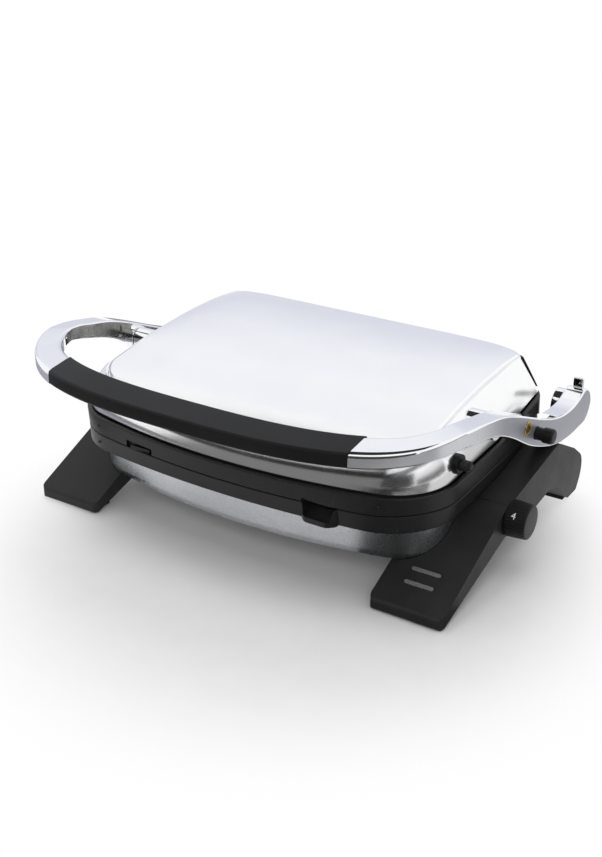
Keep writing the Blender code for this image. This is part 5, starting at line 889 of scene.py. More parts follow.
def arm_rings():
    """Sections of the right arm from its joint with the grip round the corner to its tail."""
    rings = []
    start_x = GRIP_HALF_LENGTH + FIT_GAP
    joint_y = sum(point[1] for point in handle_crossing(start_x)) / 2
    starts = handle_angle(start_x, LEG_OUTER_X), handle_angle(start_x, ARM_INNER_X)
    for i in range(ARM_CORNER_STATIONS + 1):
        angles = [start + (math.pi / 2 - start) * i / ARM_CORNER_STATIONS for start in starts]
        outer, inner = handle_outer(angles[0]), handle_inner(angles[1])
        middle = (outer[1] + inner[1]) / 2
        share = min((middle - joint_y) / (ARM_SHOULDER_Y - joint_y), 1.0)
        share = share * share * (3 - 2 * share)
        radius = ARM_SHOULDER_ROUND + (ARM_ROUND - ARM_SHOULDER_ROUND) * share
        if share < 1.0:
            outer_top = GRIP_FRONT_TOP_Z + (ARM_SHOULDER_TOP_Z - GRIP_FRONT_TOP_Z) * share
            inner_top = GRIP_BACK_TOP_Z + (ARM_SHOULDER_TOP_Z - GRIP_BACK_TOP_Z) * share
            bottom = GRIP_BOTTOM_Z + (ARM_SHOULDER_BOTTOM_Z - GRIP_BOTTOM_Z) * share
        else:
            outer_top = inner_top = arm_top(middle)
            bottom = arm_bottom(middle)
        rings.append(handle_section(outer, inner, bottom, outer_top, inner_top, radius, ARM_ROUND))
    for i in range(1, ARM_STATIONS + 1):
        y = HANDLE_SHOULDER_Y + (HINGE_Y - HANDLE_SHOULDER_Y) * i / ARM_STATIONS
        rings.append(handle_section((LEG_OUTER_X, y), (ARM_INNER_X, y), arm_bottom(y), arm_top(y), arm_top(y),
                                    ARM_ROUND, ARM_ROUND))
    for i in range(1, TAIL_STATIONS + 1):
        a = math.pi / 2 * i / TAIL_STATIONS
        y = HINGE_Y + (TAIL_END_Y - HINGE_Y) * math.sin(a)
        half = max(TAIL_RADIUS * math.cos(a), 2 * ARM_ROUND)
        rings.append(handle_section((LEG_OUTER_X, y), (ARM_INNER_X, y), HINGE_Z - half, HINGE_Z + half,
                                    HINGE_Z + half, ARM_ROUND, ARM_ROUND))
    return rings


def mirrored(points):
    return [(-x, y, z) for x, y, z in points]


def side_span(side, low, high):
    return (low, high) if side > 0 else (-high, -low)


# Helpers for the pieces

def filleted(stations, wrap=False, steps=FILLET_STEPS):
    """Rings through (ring, radius) stations, each turned corner rounded to its radius."""
    rings = []
    count = len(stations)
    for i, (ring, radius) in enumerate(stations):
        if radius == 0 or (not wrap and i in (0, count - 1)):
            rings.append(ring)
            continue
        before, after = stations[i - 1][0], stations[(i + 1) % count][0]
        for k in range(steps + 1):
            t = k / steps
            curve = []
            for here, back, ahead in zip(ring, before, after):
                spot = list(here)
                for other, share in ((back, (1 - t) ** 2), (ahead, t * t)):
                    span = [o - h for o, h in zip(other, here)]
                    length = math.hypot(*span)
                    reach = min(radius, CORNER_SHARE * length)
                    for axis in range(3):
                        spot[axis] += share * reach * span[axis] / max(length, MERGE_DISTANCE)
                curve.append(spot)
            rings.append(curve)
    return rings


def finished(obj, material, body, replaced=(), sharp_degrees=34.0):
    """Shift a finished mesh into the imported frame, give it its finish and let it ride on its body."""
    for vert in obj.data.vertices:
        vert.co.x += SHIFT_X
        vert.co.y += SHIFT_Y
    obj.data.materials.clear()
    obj.data.materials.append(material)
    obj.data.shade_smooth()
    obj.data.set_sharp_from_angle(angle=math.radians(sharp_degrees))
    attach(obj, body)
    if replaced:
        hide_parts(*replaced)
    modifier = obj.modifiers.new("normals", "WEIGHTED_NORMAL")
    modifier.keep_sharp = True
    modifier.weight = NORMAL_WEIGHT
    return applied(obj)


def slope_solid(name, outline, low, high, y):
    """Extrude an outline given across X and along the foot's slope, square to that slope."""
    slope = (LEG_KNEE_Z - LEG_TOE_HEIGHT) / LEG_KNEE_Y
    length = math.hypot(1, slope)
    along, out = (1 / length, slope / length), (-slope / length, 1 / length)
    place = (y, LEG_TOE_HEIGHT + slope * y)
    bm = bmesh.new()
    rings = []
    for level in (low, high):
        rings.append([(x, place[0] + along[0] * a + out[0] * level, place[1] + along[1] * a + out[1] * level)
                      for x, a in outline])
    loft_into(bm, rings)
    return mesh_object(name, bm)


def stadium(centre_x, half_width, half_depth):
    return rounded([(centre_x + x * half_width, y * half_depth, half_depth * NEARLY_ALL)
                    for x, y in ((-1, -1), (1, -1), (1, 1), (-1, 1))])


def domes(name, spots, radius, height):
    """Small rivet heads, each given by its centre and the unit direction that it stands out in."""
    bm = bmesh.new()
    for centre, out in spots:
        x_dir = (-out[1], out[0], 0.0)
        rings = []
        for k in range(5):
            a = math.pi / 2 * k / 5
            ring = []
            for i in range(20):
                b = 2 * math.pi * i / 20
                u, v = radius * math.cos(a) * math.cos(b), radius * math.cos(a) * math.sin(b)
                lift = height * math.sin(a)
                ring.append((centre[0] + x_dir[0] * u + out[0] * lift,
                             centre[1] + x_dir[1] * u + out[1] * lift, centre[2] + v))
            rings.append(ring)
        loft_into(bm, rings)
    return mesh_object(name, bm)


# Base

def stations(*rows):
    """Rings through rows of (plan, height, inset, corner radius)."""
    return [(plan_ring(plan, z, inset), radius) for plan, z, inset, radius in rows]


def shell_wall_rings():
    top, crease, bottom = SHELL_TOP_PLAN, SHELL_CREASE_PLAN, SHELL_BOTTOM_PLAN
    ceiling = SHELL_TOP_Z - SHELL_WALL
    inside = SHELL_BOTTOM_Z + SHELL_WALL
    return filleted(stations(
        (top, SHELL_TOP_Z, 0, SHELL_WALL), (crease, SHELL_CREASE_Z, 0, SHELL_CREASE_ROUND),
        (bottom, SHELL_BOTTOM_Z, 0, SHELL_WALL / 2), (bottom, SHELL_BOTTOM_Z, SHELL_BOTTOM_FLANGE, 0),
        (bottom, inside, SHELL_BOTTOM_FLANGE, 0), (bottom, inside, SHELL_WALL, 0),
        (crease, SHELL_CREASE_Z, SHELL_WALL, 0), (top, ceiling, SHELL_WALL, 0),
        (top, ceiling, SHELL_TOP_FLANGE, 0), (top, SHELL_TOP_Z, SHELL_TOP_FLANGE, 0)), wrap=True)


def shell_envelope(gap):
    """The housing and plate with a gap around them, as a tool that clears the legs' moulding."""
    return loft("shell_envelope", [plan_ring(plan, z, -gap) for plan, z in (
        (SHELL_BOTTOM_PLAN, SHELL_BOTTOM_Z - gap), (SHELL_CREASE_PLAN, SHELL_CREASE_Z),
        (SHELL_TOP_PLAN, SHELL_TOP_Z - gap), (LOWER_RIM_PLAN, LOWER_RIM_BOTTOM_Z - gap),
        (SPLIT_PLAN, SPLIT_Z + OVERRUN))])


def build_shell():
    shell = loft("housing_skin", shell_wall_rings(), wrap=True)
    turns = [2 * math.pi * i / GLAND_STEPS for i in range(GLAND_STEPS)]
    gland_y = SHELL_TOP_PLAN.back
    cut(shell, loft("gland_hole", [[(GLAND_X + GLAND_HOLE_RADIUS * math.cos(a), y,
                                     GLAND_Z + GLAND_HOLE_RADIUS * math.sin(a)) for a in turns]
                                   for y in (gland_y - OVERRUN, gland_y + OVERRUN)]))
    finished(shell, STEEL_SHELL, "base", ("base_shell",))


def leg_outline():
    corners = [(TOE_FRONT_Y, TOE_SOLE_Z, TOE_SOLE_ROUND), (TOE_FRONT_Y, TOE_TOP_Z, TOE_TOP_ROUND),
               (LEG_KNEE_Y, LEG_KNEE_Z, LEG_CORNER_RADIUS)]
    for shares, radius in ((LEG_BACK_SHARES, LEG_TAIL_RADIUS), (LEG_FOOT_SHARES, LEG_SMALL_RADIUS),
                           (LEG_ARCH_SHARES, LEG_CORNER_RADIUS)):
        corners += [(LEG_LENGTH * along, LEG_HEIGHT * up, radius) for along, up in shares]
    corners.append((LEG_SOLE_END_Y, LEG_SOLE_END_Z, LEG_CORNER_RADIUS))
    return rounded(corners, 9)


def build_leg(side_name, side):
    low_x, high_x = side_span(side, LEG_INNER_X, LEG_OUTER_X)
    leg = slab("leg_moulding_" + side_name, leg_outline(), X_AXIS, low_x, high_x)
    back_y = LEG_LENGTH + OVERRUN
    plan = rounded([(low_x, TOE_FRONT_Y, LEG_TOE_RADIUS), (high_x, TOE_FRONT_Y, LEG_TOE_RADIUS),
                    (high_x, back_y, 0), (low_x, back_y, 0)], 14)
    common(leg, slab("toe_plan", plan, Z_AXIS, -OVERRUN, LEG_HEIGHT + OVERRUN))
    bevelled(leg, LEG_EDGE, 4, 42.0)
    cut(leg, shell_envelope(FIT_GAP))
    under = side_span(side, LEG_INNER_X - OVERRUN, SHELL_BOTTOM_PLAN.half_width)
    cut(leg, block("under_housing", (under[0], LEG_UNDERLAP_END_Y, LEG_TOE_CLEARANCE),
                   (under[1], LEG_LENGTH, SHELL_BOTTOM_Z)))
    slot = side_span(side, DRUM_INNER_X - FIT_GAP, ARM_INNER_X)
    cut(leg, block("bracket_slot", (slot[0], HINGE_Y - POST_HALF_DEPTH - FIT_GAP, POST_FOOT_Z - FIT_GAP),
                   (slot[1], back_y, LEG_HEIGHT + OVERRUN)))
    cut_seam(leg, side)
    if side > 0:
        outline = lens_outline(FIT_GAP / 2)
        for y in LENS_Y:
            cut(leg, slope_solid("lens_slot", outline, -LENS_THICKNESS, OVERRUN, y))
    finished(leg, BLACK_PLASTIC, "base", ("leg_" + side_name,), 38.0)


def cut_seam(leg, side):
    """The parting line of the leg's top moulding: a hairline across its top."""
    probe = ((LEG_OUTER_X - LEG_EDGE * 4) * side, SEAM_Y, LEG_HEIGHT * 2)
    top_z = leg.ray_cast(probe, (0, 0, -1))[1][2]
    across = side_span(side, LEG_INNER_X - OVERRUN, LEG_OUTER_X + OVERRUN)
    cut(leg, block("seam_top", (across[0], SEAM_Y - SEAM_WIDTH / 2, top_z - SEAM_DEPTH),
                   (across[1], SEAM_Y + SEAM_WIDTH / 2, LEG_HEIGHT)))


def lens_outline(gap):
    return stadium(LENS_X, LENS_WIDTH / 2 + gap, LENS_DEPTH / 2 + gap)


def build_lenses():
    for name, y in zip(("power", "ready"), LENS_Y):
        lens = slope_solid("lens_window_" + name, lens_outline(-FIT_GAP / 2), -LENS_THICKNESS, LENS_PROUD, y)
        bevelled(lens, LENS_PROUD * 0.8, 3)
        finished(lens, LENS, "base", ("indicator_lens_" + name,))


def rib_field(name, face_z, rise):
    """The ribs of a cooking face as one comb, trimmed to the face's plan."""
    root = face_z - math.copysign(FIT_GAP, rise)
    back = root - math.copysign(FIT_GAP, rise)
    half = SPLIT_PLAN.half_width
    foot, crest, peak, bend = RIB_FOOT_WIDTH / 2, RIB_TOP_WIDTH / 2, face_z + rise, RIB_TOP_WIDTH / 3
    outline = [(-half, back, 0), (-half, root, 0)]
    for i in range(RIB_COUNT):
        x = (i - (RIB_COUNT - 1) / 2) * RIB_PITCH
        outline += [(x + step, z, radius) for step, z, radius in (
            (-foot, root, 0), (-crest, peak, bend), (crest, peak, bend), (foot, root, 0))]
    outline += [(half, root, 0), (half, back, 0)]
    flat = softened(outline, 4)
    comb = loft(name, [[(x, y, z) for x, z in flat] for y in (-OVERRUN * 4, PLATE_BACK_Y)])
    return common(comb, loft(name + "_field", [plan_ring(SPLIT_PLAN, face_z + step, RIB_INSET)
                                               for step in (-CHANNEL_INSET, CHANNEL_INSET)]))


def split_front_y(x):
    return SPLIT_PLAN.front - SPLIT_PLAN.bow * (1 - (x / SPLIT_PLAN.half_width) ** 2)


def spout_gutter(front, channel):
    """The space cut out of the spout: a flared trough behind a low front lip."""
    half = SPOUT_WIDTH / 2 - SPOUT_WALL
    foot = half - SPOUT_FLARE
    floor_z = SPLIT_Z - SPOUT_FLOOR_DROP
    lip_z = SPLIT_Z - SPOUT_LIP_DROP
    outside = front - SPOUT_REACH - OVERRUN
    wall_y = front - SPOUT_REACH + SPOUT_WALL
    end = front + SPOUT_ROOT + FIT_GAP * 2
    profile = [(outside, lip_z), (wall_y, lip_z), (wall_y, floor_z),
               (front + SPOUT_WALL, floor_z + SPOUT_WALL / 2), (end, channel + FIT_GAP),
               (end, SPLIT_Z + OVERRUN), (outside, SPLIT_Z + OVERRUN)]
    trough = slab("spout_trough", profile, X_AXIS, SPOUT_X - half, SPOUT_X + half)
    section = [(-foot, floor_z - OVERRUN), (foot, floor_z - OVERRUN), (foot, floor_z + SPOUT_WALL),
               (half, SPLIT_Z), (half, SPLIT_Z + OVERRUN * 2), (-half, SPLIT_Z + OVERRUN * 2),
               (-half, SPLIT_Z), (-foot, floor_z + SPOUT_WALL)]
    return common(trough, loft("spout_flare", [[(SPOUT_X + x, y, z) for x, z in section]
                                               for y in (outside - OVERRUN, end + OVERRUN)]))


def face_rows(edge, channel, face):
    """Stations from a casting's split edge over its land and drip channel to its cooking face."""
    return stations(
        (SPLIT_PLAN, edge, 0, RIM_ROUND), (SPLIT_PLAN, edge, RIM_LAND, RIM_ROUND / 2),
        (SPLIT_PLAN, channel, RIM_WALL_INSET, RIM_ROUND), (SPLIT_PLAN, channel, CHANNEL_INSET, RIM_ROUND / 2),
        (SPLIT_PLAN, face, COOKING_INSET, RIM_ROUND / 2), (SPLIT_PLAN, face, COOKING_INSET + RIM_LAND, 0))


def build_lower_plate():
    channel = SPLIT_Z - CHANNEL_DEPTH
    face = SPLIT_Z - COOKING_DEPTH
    foot = PLATE_FOOT_INSET + PLATE_FOOT_WIDTH
    plate = loft("casting_lower", filleted(stations(
        (SHELL_TOP_PLAN, LOWER_BACK_Z, foot, 0), (SHELL_TOP_PLAN, LOWER_RIM_BOTTOM_Z, foot, 0),
        (SHELL_TOP_PLAN, LOWER_RIM_BOTTOM_Z, PLATE_FOOT_INSET, 0),
        (SHELL_TOP_PLAN, LOWER_BACK_Z, PLATE_FOOT_INSET, 0),
        (LOWER_RIM_PLAN, LOWER_BACK_Z, SKIRT_WALL + SKIRT_DRAFT, 0),
        (LOWER_RIM_PLAN, LOWER_RIM_BOTTOM_Z, SKIRT_WALL, RIM_ROUND / 2),
        (LOWER_RIM_PLAN, LOWER_RIM_BOTTOM_Z, 0, RIM_ROUND)) + face_rows(SPLIT_Z, channel, face)))
    join(plate, rib_field("lower_ribs", face, RIB_HEIGHT))
    front = split_front_y(SPOUT_X)
    half = SPOUT_WIDTH / 2
    nose = half * SPOUT_NOSE_SHARE
    bend = SPOUT_NOSE_RADIUS
    lip = rounded([(SPOUT_X + x, front + y, radius) for x, y, radius in (
        (-half, SPOUT_ROOT, 0), (-half, RIM_ROUND, bend), (-nose, -SPOUT_REACH, bend),
        (nose, -SPOUT_REACH, bend), (half, RIM_ROUND, bend), (half, SPOUT_ROOT, 0))], 12)
    body = slab("spout_body", lip, Z_AXIS, LOWER_RIM_BOTTOM_Z, SPLIT_Z - RIM_ROUND / 3)
    join(plate, bevelled(body, RIM_ROUND, 3))
    cut(plate, spout_gutter(front, channel))
    front = split_front_y(NOTCH_X) + RIM_ROUND
    tongue = block("notch_tongue", (NOTCH_X - TONGUE_WIDTH / 2, front, SPLIT_Z - RIM_ROUND),
                   (NOTCH_X + TONGUE_WIDTH / 2, front + TONGUE_THICKNESS, SPLIT_Z + TONGUE_HEIGHT))
    join(plate, bevelled(tongue, RIM_ROUND / 3, 2))
    finished(plate, CAST, "base", ("lower_plate",), 40.0)
    rivets("rivets_lower", LOWER_RIVETS, LOWER_RIM_PLAN, "base")


def rivets(name, places, plan, body):
    spots = [((x, plan.front - plan.bow * (1 - (x / plan.half_width) ** 2) - RIM_ROUND / 4, z), (0, -1))
             for x, z in places]
    finished(domes(name, spots, RIVET_RADIUS, RIVET_RADIUS / 2), CAST, body)


def rim_top(x, y):
    return UPPER_RIM_TOP_Z + rear_lift(y)


def cut_front(plate, name, x, half_width, depth, height):
    """Cut a rounded gap into the split edge of the upper casting's front."""
    front = split_front_y(x)
    gap = block(name, (x - half_width, front - OVERRUN, UPPER_RIM_BOTTOM_Z - OVERRUN),
                (x + half_width, front + depth, UPPER_RIM_BOTTOM_Z + height))
    cut(plate, bevelled(gap, RIM_ROUND, 3))


def build_upper_plate():
    bottom = UPPER_RIM_BOTTOM_Z
    face = bottom + COOKING_DEPTH
    plate = loft("casting_upper", filleted(stations(
        (UPPER_RIM_PLAN, UPPER_BACK_Z, RIM_LEDGE * 1.3, 0),
        (UPPER_RIM_PLAN, rim_top, RIM_LEDGE, RIM_ROUND / 2),
        (UPPER_RIM_PLAN, rim_top, 0, RIM_ROUND)) + face_rows(bottom, bottom + CHANNEL_DEPTH, face)))
    join(plate, rib_field("upper_ribs", face, -RIB_HEIGHT))
    cut_front(plate, "rim_notch", NOTCH_X, NOTCH_WIDTH / 2, NOTCH_DEPTH, NOTCH_HEIGHT)
    cut_front(plate, "spout_relief", SPOUT_X, SPOUT_WIDTH / 2 - SPOUT_WALL, RIM_LAND / 2, SPOUT_RELIEF)
    finished(plate, CAST, "lid", ("upper_plate",), 40.0)
    rivets("rivets_upper", UPPER_RIVETS, UPPER_RIM_PLAN, "lid")


# Lid

def lock_slot():
    """The side outline of the slot that the locking pin enters, curved about the lid's pivot."""
    reach = math.hypot(LOCK_Y - PIVOT_Y, LOCK_Z - PIVOT_Z)
    start = math.atan2(LOCK_Z - PIVOT_Z, LOCK_Y - PIVOT_Y)
    swing = math.radians(FLOAT_DEGREES)
    radius = LOCK_PIN_RADIUS + FIT_GAP

    def spot(distance, share):
        a = start - swing * share
        return PIVOT_Y + distance * math.cos(a), PIVOT_Z + distance * math.sin(a)

    def beyond(point, turn, way):
        return point[0] + way * math.cos(turn) * radius, point[1] + way * math.sin(turn) * radius, radius

    low, high = ([spot(distance, share) for share in (0.0, 0.5, 1.0)]
                 for distance in (reach - radius, reach + radius))
    turn = start + math.pi / 2
    return rounded([beyond(low[0], turn, 1), beyond(high[0], turn, 1), (*high[1], 0),
                    beyond(high[2], turn - swing, -1), beyond(low[2], turn - swing, -1), (*low[1], 0)], 8)


def build_lid():
    cover = loft("lid_skin", lid_rings(-LID_WALL)[::-1] + lid_rings(groove=True))
    for side in (1, -1):
        bore = [(PIVOT_BORE_RADIUS, PIVOT_BOSS_START_X - OVERRUN * 2), (PIVOT_BORE_RADIUS, LEG_OUTER_X)]
        cut(cover, turned("pivot_bore", bore, (0, PIVOT_Y, PIVOT_Z), side))
    hole = [(BUTTON_RADIUS + FIT_GAP, x) for x in (RELEASE_WALL_X - BUTTON_HOLE_DEPTH, LEG_OUTER_X)]
    cut(cover, turned("button_hole", hole, (0, RELEASE_Y, RELEASE_Z)))
    cut(cover, slab("lock_slot", lock_slot(), X_AXIS, LID_PLAN.half_width - PIVOT_BOSS_RADIUS, LEG_OUTER_X))
    finished(cover, STEEL_LID, "lid", ("lid_cover",))
    rear = loft("rear_strip", lid_rings(REAR_STRIP_OFFSET + REAR_STRIP_THICKNESS))
    top_z = lid_arch(0, CREASE_BACK_Y) - REAR_STRIP_MARGIN
    low_z = lid_bottom(0, LID_BACK_Y) + REAR_STRIP_MARGIN
    back = LID_BACK_Y + LID_PLAN.rear_radius
    field = [(LID_BACK_Y - REAR_STRIP_WRAP, low_z), (back, low_z), (back, top_z),
             (CREASE_BACK_Y - REAR_STRIP_WRAP, top_z)]
    common(rear, slab("rear_field", field, X_AXIS, -LEG_OUTER_X, LEG_OUTER_X))
    cut(rear, loft("lid_envelope", lid_rings(REAR_STRIP_OFFSET)))
    finished(rear, BLACK_PLASTIC, "lid", ("lid_rear_cover",))


# Handle and hinges

def build_arm(side_name, side):
    rings = arm_rings()
    arm = loft("arm_casting_" + side_name, rings if side > 0 else [mirrored(ring) for ring in rings])
    pocket = rounded([(y, edge(y) + margin, POCKET_ROUND) for y, edge, margin in (
        (POCKET_START_Y, arm_bottom, POCKET_MARGIN), (POCKET_END_Y, arm_bottom, POCKET_MARGIN),
        (POCKET_END_Y, arm_top, -POCKET_MARGIN), (POCKET_START_Y, arm_top, -POCKET_MARGIN))])
    across = side_span(side, ARM_INNER_X - OVERRUN, ARM_INNER_X + POCKET_DEPTH)
    cut(arm, slab("arm_pocket", pocket, X_AXIS, *across))
    if side > 0:
        for name, radius, depth, y, z in (
                ("lock_well", LOCK_NECK_RADIUS + FIT_GAP, LOCK_WELL_DEPTH, LOCK_Y, LOCK_Z),
                ("disc_seat", DISC_RADIUS + FIT_GAP / 2, DISC_SINK, DISC_Y, DISC_Z)):
            bore = [(radius, LEG_OUTER_X - depth), (radius, LEG_OUTER_X + OVERRUN)]
            cut(arm, turned(name, bore, (0, y, z)))
    finished(arm, CHROME, "handle", ("arm_" + side_name,))
    arm.data.materials.append(SATIN_PAINTED_SIDE)
    arm.data.materials.append(INNER_PAINTED_REFLECTION)
    # Faces turned outwards take the satin tone with painted reflection; faces turned inwards take a dark tone
    # that is painted reflection
    for face in arm.data.polygons:
        if face.normal.x * side > 0 and abs(face.normal.z) < SATIN_PAINTED_SIDE_TILT:
            face.material_index = 1
        elif face.normal.x * side < -INNER_PAINTED_FACING:
            face.material_index = 2
    shoulder = softened([(AXIS_RADIUS, PIVOT_SPLIT_X + FIT_GAP, 0),
                         (PIVOT_SHOULDER_RADIUS, PIVOT_SPLIT_X + FIT_GAP, TURNED_EDGE),
                         (PIVOT_SHOULDER_RADIUS, ARM_INNER_X + FIT_GAP, 0)])
    ring = turned("pivot_ring_" + side_name, shoulder, (0, PIVOT_Y, PIVOT_Z), side)
    finished(ring, CHROME, "handle")
    lug_x = (ARM_INNER_X + LEG_OUTER_X + STOP_LUG_SHIFT) / 2
    across = side_span(side, lug_x - STOP_LUG_WIDTH / 2, lug_x + STOP_LUG_WIDTH / 2)
    top = HINGE_Z + TAIL_RADIUS
    lug = block("stop_lug_" + side_name, (across[0], STOP_LUG_Y - STOP_LUG_THICKNESS / 2, top - OVERRUN),
                (across[1], STOP_LUG_Y + STOP_LUG_THICKNESS / 2, top + STOP_LUG_HEIGHT))
    finished(bevelled(lug, STOP_LUG_THICKNESS * 0.24, 3), CHROME, "handle")


def build_grip():
    rings = []
    for i in range(GRIP_STATIONS):
        outer, inner = handle_crossing(GRIP_HALF_LENGTH * (2 * i / (GRIP_STATIONS - 1) - 1))
        rings.append(handle_section(outer, inner, GRIP_BOTTOM_Z, GRIP_FRONT_TOP_Z, GRIP_BACK_TOP_Z,
                                    GRIP_ROUND, GRIP_ROUND))
    finished(loft("grip_moulding", rings), BLACK_GRIP, "handle", ("grip",), 60.0)
    start = LEG_OUTER_X - DISC_SINK
    face = start + DISC_THICKNESS
    dish = start + DISC_THICKNESS * 0.85
    profile = spun([(DISC_RADIUS, start, 0), (DISC_RADIUS, face, DISC_THICKNESS / 3),
                    (DISC_RADIUS * 0.78, face, 0), (DISC_RADIUS * 0.74, dish, 0)])
    finished(turned("brass_button", profile, (0, DISC_Y, DISC_Z)), BRASS, "handle", ("brass_disc",))


def build_hinge(side_name, side):
    hinge = (0, HINGE_Y, HINGE_Z)
    inner, outer = DRUM_INNER_X, ARM_INNER_X - FIT_GAP
    profile = spun([(DRUM_RECESS_RADIUS, inner + DRUM_RECESS_DEPTH, 0),
                    (DRUM_RECESS_RADIUS, inner, TURNED_EDGE),
                    (DRUM_RADIUS, inner, TURNED_EDGE), (DRUM_RADIUS, outer, TURNED_EDGE)])
    drum = turned("hinge_drum_" + side_name, profile, hinge, side)
    across = side_span(side, inner + TURNED_EDGE / 4, outer - TURNED_EDGE / 4)
    post = block("hinge_post_" + side_name, (across[0], HINGE_Y - POST_HALF_DEPTH, POST_FOOT_Z),
                 (across[1], HINGE_Y + POST_HALF_DEPTH, HINGE_Z - DRUM_RECESS_RADIUS - TURNED_EDGE))
    bevelled(post, TURNED_EDGE, 3)
    finished(drum, CHROME, "base", ("hinge_bracket_" + side_name,))
    finished(post, CHROME, "base")
    start = inner + CAP_SINK
    profile = spun([(CAP_RADIUS, start, TURNED_EDGE), (CAP_RADIUS, start + CAP_THICKNESS, 0)])
    cap = turned("hinge_plug_" + side_name, profile, hinge, side)
    finished(cap, BLACK_PLASTIC, "base", ("hinge_cap_" + side_name,))
    profile = spun([(PIVOT_BOSS_RADIUS, PIVOT_BOSS_START_X, 0),
                    (PIVOT_BOSS_RADIUS, PIVOT_SPLIT_X, TURNED_EDGE)])
    boss = turned("pivot_boss_" + side_name, profile, (0, PIVOT_Y, PIVOT_Z), side)
    cut(boss, loft("boss_seat", lid_rings(-LID_WALL / 2)))
    finished(boss, CHROME, "lid", ("lid_boss_" + side_name,))


# Controls

def build_controls():
    knob = spun([(KNOB_RADIUS, 0, KNOB_FOOT_ROUND), (KNOB_RADIUS, KNOB_SKIRT, 0),
                 (KNOB_TIP_RADIUS, KNOB_LENGTH, KNOB_TIP_ROUND)], 4)
    body = turned("dial_body", knob, (KNOB_X, KNOB_Y, KNOB_Z), steps=KNOB_FLUTES * 8, flutes=KNOB_FLUTES,
                  flute_depth=KNOB_FLUTE_DEPTH)
    finished(body, BLACK_KNOB, "knob", ("control_knob",), 50.0)
    for figure in range(0, DIAL_FIGURES, DIAL_FIGURE_GAP):
        dial_mark(str(figure), math.radians(DIAL_SHOWN_DEGREES + (DIAL_SHOWN - figure) * DIAL_STEP_DEGREES))
    start = LEG_OUTER_X - FIT_GAP
    neck_end = start + LOCK_NECK_LENGTH
    end = neck_end + LOCK_HEAD_LENGTH
    head = spun([(LOCK_NECK_RADIUS, start, 0), (LOCK_NECK_RADIUS, neck_end, LOCK_NECK_ROUND),
                 (LOCK_HEAD_RADIUS, neck_end, LOCK_BACK_ROUND), (LOCK_HEAD_RADIUS, end, LOCK_HEAD_ROUND)], 5)
    finished(turned("plunger_head", head, (0, LOCK_Y, LOCK_Z)), BLACK_KNOB, "lock",
             ("lock_knob",))
    wall = RELEASE_WALL_X + BEZEL_THICKNESS
    root = RELEASE_WALL_X - BEZEL_SEAT_DEPTH
    bore = BUTTON_RADIUS + FIT_GAP
    profile = softened([(bore, root, 0), (BEZEL_RADIUS, root, 0), (BEZEL_RADIUS, wall, TURNED_EDGE),
                        (bore, wall, TURNED_EDGE / 2)])
    bezel = turned("release_collar", profile, (0, RELEASE_Y, RELEASE_Z), wrap=True)
    cut(bezel, loft("bezel_seat", lid_rings(-LID_WALL / 2)))
    finished(bezel, BLACK_KNOB, "lid", ("release_bezel",))


def dial_mark(text, angle):
    """A printed figure wrapped on the knob's rim, read from the front with its line along the knob's axis."""
    curve = bpy.data.curves.new("dial_number", "FONT")
    curve.body = text
    curve.size = DIAL_MARK_SIZE
    curve.align_x = "CENTER"
    curve.align_y = "CENTER"
    curve.resolution_u = 6
    flat = bpy.data.objects.new("dial_number", curve)
    bpy.context.scene.collection.objects.link(flat)
    mesh = evaluated_mesh(flat)
    bpy.data.objects.remove(flat, do_unlink=True)
    bm = bmesh.new()
    bm.from_mesh(mesh)
    bmesh.ops.triangulate(bm, faces=bm.faces)
    bmesh.ops.subdivide_edges(bm, edges=bm.edges, cuts=2, use_grid_fill=True)
    for vert in bm.verts:
        across, up, _ = vert.co
        along = KNOB_LENGTH * DIAL_PLACE_SHARE + across
        radius = KNOB_RADIUS + (KNOB_TIP_RADIUS - KNOB_RADIUS) * along / KNOB_LENGTH + DIAL_MARK_DEPTH
        a = angle - up / radius
        vert.co = (KNOB_X + along, KNOB_Y + radius * math.cos(a), KNOB_Z + radius * math.sin(a))
    finished(mesh_object("dial_number_" + text, bm), DIAL_WHITE, "knob")


# Stage

def build_world():
    """White to the camera and to mirrors, weaker as a light on matt surfaces."""
    world = bpy.data.worlds.new("studio")
    bpy.context.scene.world = world
    world.use_nodes = True
    work = NodeWork(world.node_tree)
    rays = work.add("LightPath").outputs
    seen = work.maths("MAXIMUM", rays["Is Camera Ray"], rays["Is Glossy Ray"])
    shown = work.maths("MAXIMUM", seen, rays["Is Transmission Ray"])
    level = work.add("MapRange", {"Value": shown, "To Min": WORLD_FILL, "To Max": 1.0})
    work.feed(work.nodes["Background"], {"Strength": level.outputs["Result"], "Color": WHITE})


def build_floor():
    """A matt floor that fades to the white of the background around the object."""
    bpy.ops.mesh.primitive_circle_add(vertices=96, radius=FLOOR_REACH, fill_type="NGON", location=(0, 0, 0))
    floor = bpy.context.object
    floor.name = "studio_floor"
    material, work, shader = new_material("studio_floor")
    fine = work.noise(scale=40, detail=3.0)
    work.feed(shader, {"Base Color": work.tint(fine, (0.855, 0.845, 0.85), (0.875, 0.865, 0.87)),
                       "Roughness": 0.6, "Specular IOR Level": 0.0})
    centred = work.add("Mapping", {"Vector": work.place(), "Location": POOL_SHIFT})
    reach = work.add("VectorMath", {0: centred.outputs["Vector"]})
    reach.operation = "LENGTH"
    fade = work.add("MapRange", {"Value": reach.outputs["Value"], "From Min": FADE_START,
                                 "From Max": FADE_END})
    fade.interpolation_type = "SMOOTHERSTEP"
    rays = work.add("LightPath").outputs
    seen = work.maths("MAXIMUM", rays["Is Camera Ray"], rays["Is Glossy Ray"])
    glow = work.add("Emission", {"Color": WHITE})
    mix = work.add("MixShader", {"Fac": work.maths("MULTIPLY", fade.outputs["Result"], seen),
                                 1: shader.outputs["BSDF"], 2: glow.outputs["Emission"]})
    work.feed(work.nodes["Material Output"], {"Surface": mix.outputs["Shader"]})
    floor.data.materials.append(material)


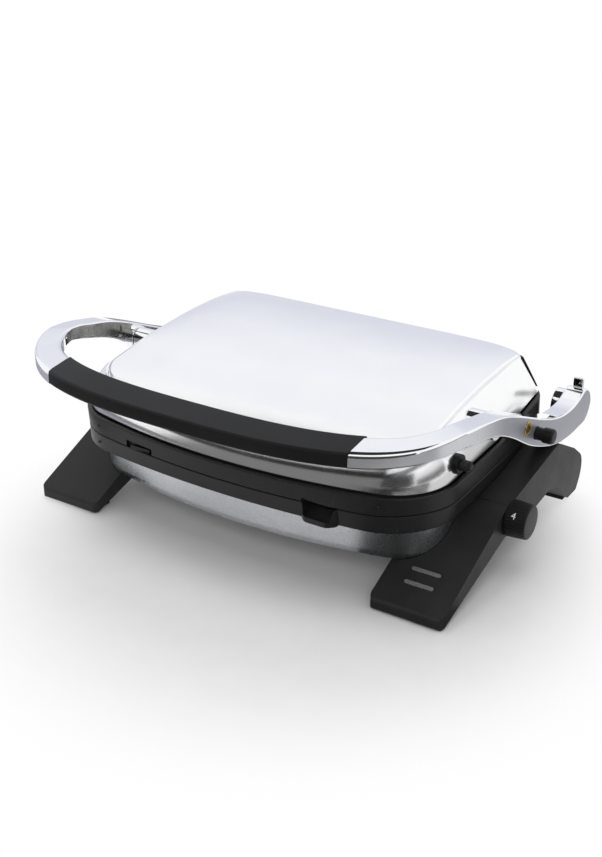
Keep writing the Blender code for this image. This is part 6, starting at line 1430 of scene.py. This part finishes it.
def stand(obj, place, aim, facing):
    """Set a lamp or a panel at its place with the named side towards its aim."""
    obj.location = place
    obj.rotation_euler = (Vector(aim) - Vector(place)).to_track_quat(facing, "Y").to_euler()
    bpy.context.scene.collection.objects.link(obj)


def soft_box(name, place, aim, width, height, power):
    light = bpy.data.lights.new(name, "AREA")
    light.shape = "RECTANGLE"
    light.size = width
    light.size_y = height
    light.energy = power
    obj = bpy.data.objects.new(name, light)
    obj.visible_glossy = False
    stand(obj, place, aim, "-Z")


def card(name, place, aim, width, height, low, high):
    """A panel outside the picture that only mirror-like surfaces show, graded from low edge to high."""
    bm = bmesh.new()
    bm.faces.new([bm.verts.new((x * width / 2, y * height / 2, 0))
                  for x, y in ((-1, -1), (1, -1), (1, 1), (-1, 1))])
    mesh = bpy.data.meshes.new(name)
    bm.to_mesh(mesh)
    bm.free()
    panel = bpy.data.objects.new(name, mesh)
    stand(panel, place, aim, "Z")
    material, work, shader = new_material(name)
    split = work.add("SeparateXYZ", {"Vector": work.place()})
    grade = work.add("MapRange", {"Value": split.outputs["Y"], "From Min": -height / 2,
                                  "From Max": height / 2})
    work.feed(shader, {"Base Color": (0, 0, 0, 1), "Specular IOR Level": 0.0, "Emission Strength": 1.0,
                       "Emission Color": work.tint(grade.outputs["Result"], low, high)})
    panel.data.materials.append(material)
    panel.visible_camera = False
    panel.visible_shadow = False
    panel.visible_diffuse = False


def build_camera():
    data = bpy.data.cameras.new("camera")
    data.sensor_fit = "VERTICAL"
    data.sensor_height = SENSOR_HEIGHT
    data.lens = FOCAL_PIXELS / PHOTO_HEIGHT * SENSOR_HEIGHT
    data.shift_y = CAMERA_SHIFT_Y
    data.clip_start = 0.01
    data.clip_end = 50.0
    camera = bpy.data.objects.new("camera", data)
    camera.location = (CAMERA_PLACE[0] + SHIFT_X, CAMERA_PLACE[1] + SHIFT_Y, CAMERA_PLACE[2])
    camera.rotation_euler = [math.radians(v) for v in CAMERA_TURN]
    bpy.context.scene.collection.objects.link(camera)
    bpy.context.scene.camera = camera


def paint_nodes():
    """Give every CAD node that stays in sight its procedural finish."""
    for node in NODES.values():
        for material_slot in node.material_slots:
            name = material_slot.material.name.split(".")[0]
            material_slot.link = "OBJECT"
            material_slot.material = NODE_FINISH[name]


paint_nodes()
build_shell()
for side_name, side in SIDES:
    build_leg(side_name, side)
    build_arm(side_name, side)
    build_hinge(side_name, side)
build_lenses()
build_lower_plate()
build_upper_plate()
build_lid()
build_grip()
build_controls()
build_world()
build_floor()
for row in SOFT_BOXES:
    soft_box(*row)
for row in CARDS:
    card(*row)
build_camera()
bpy.context.scene.view_settings.view_transform = "Standard"
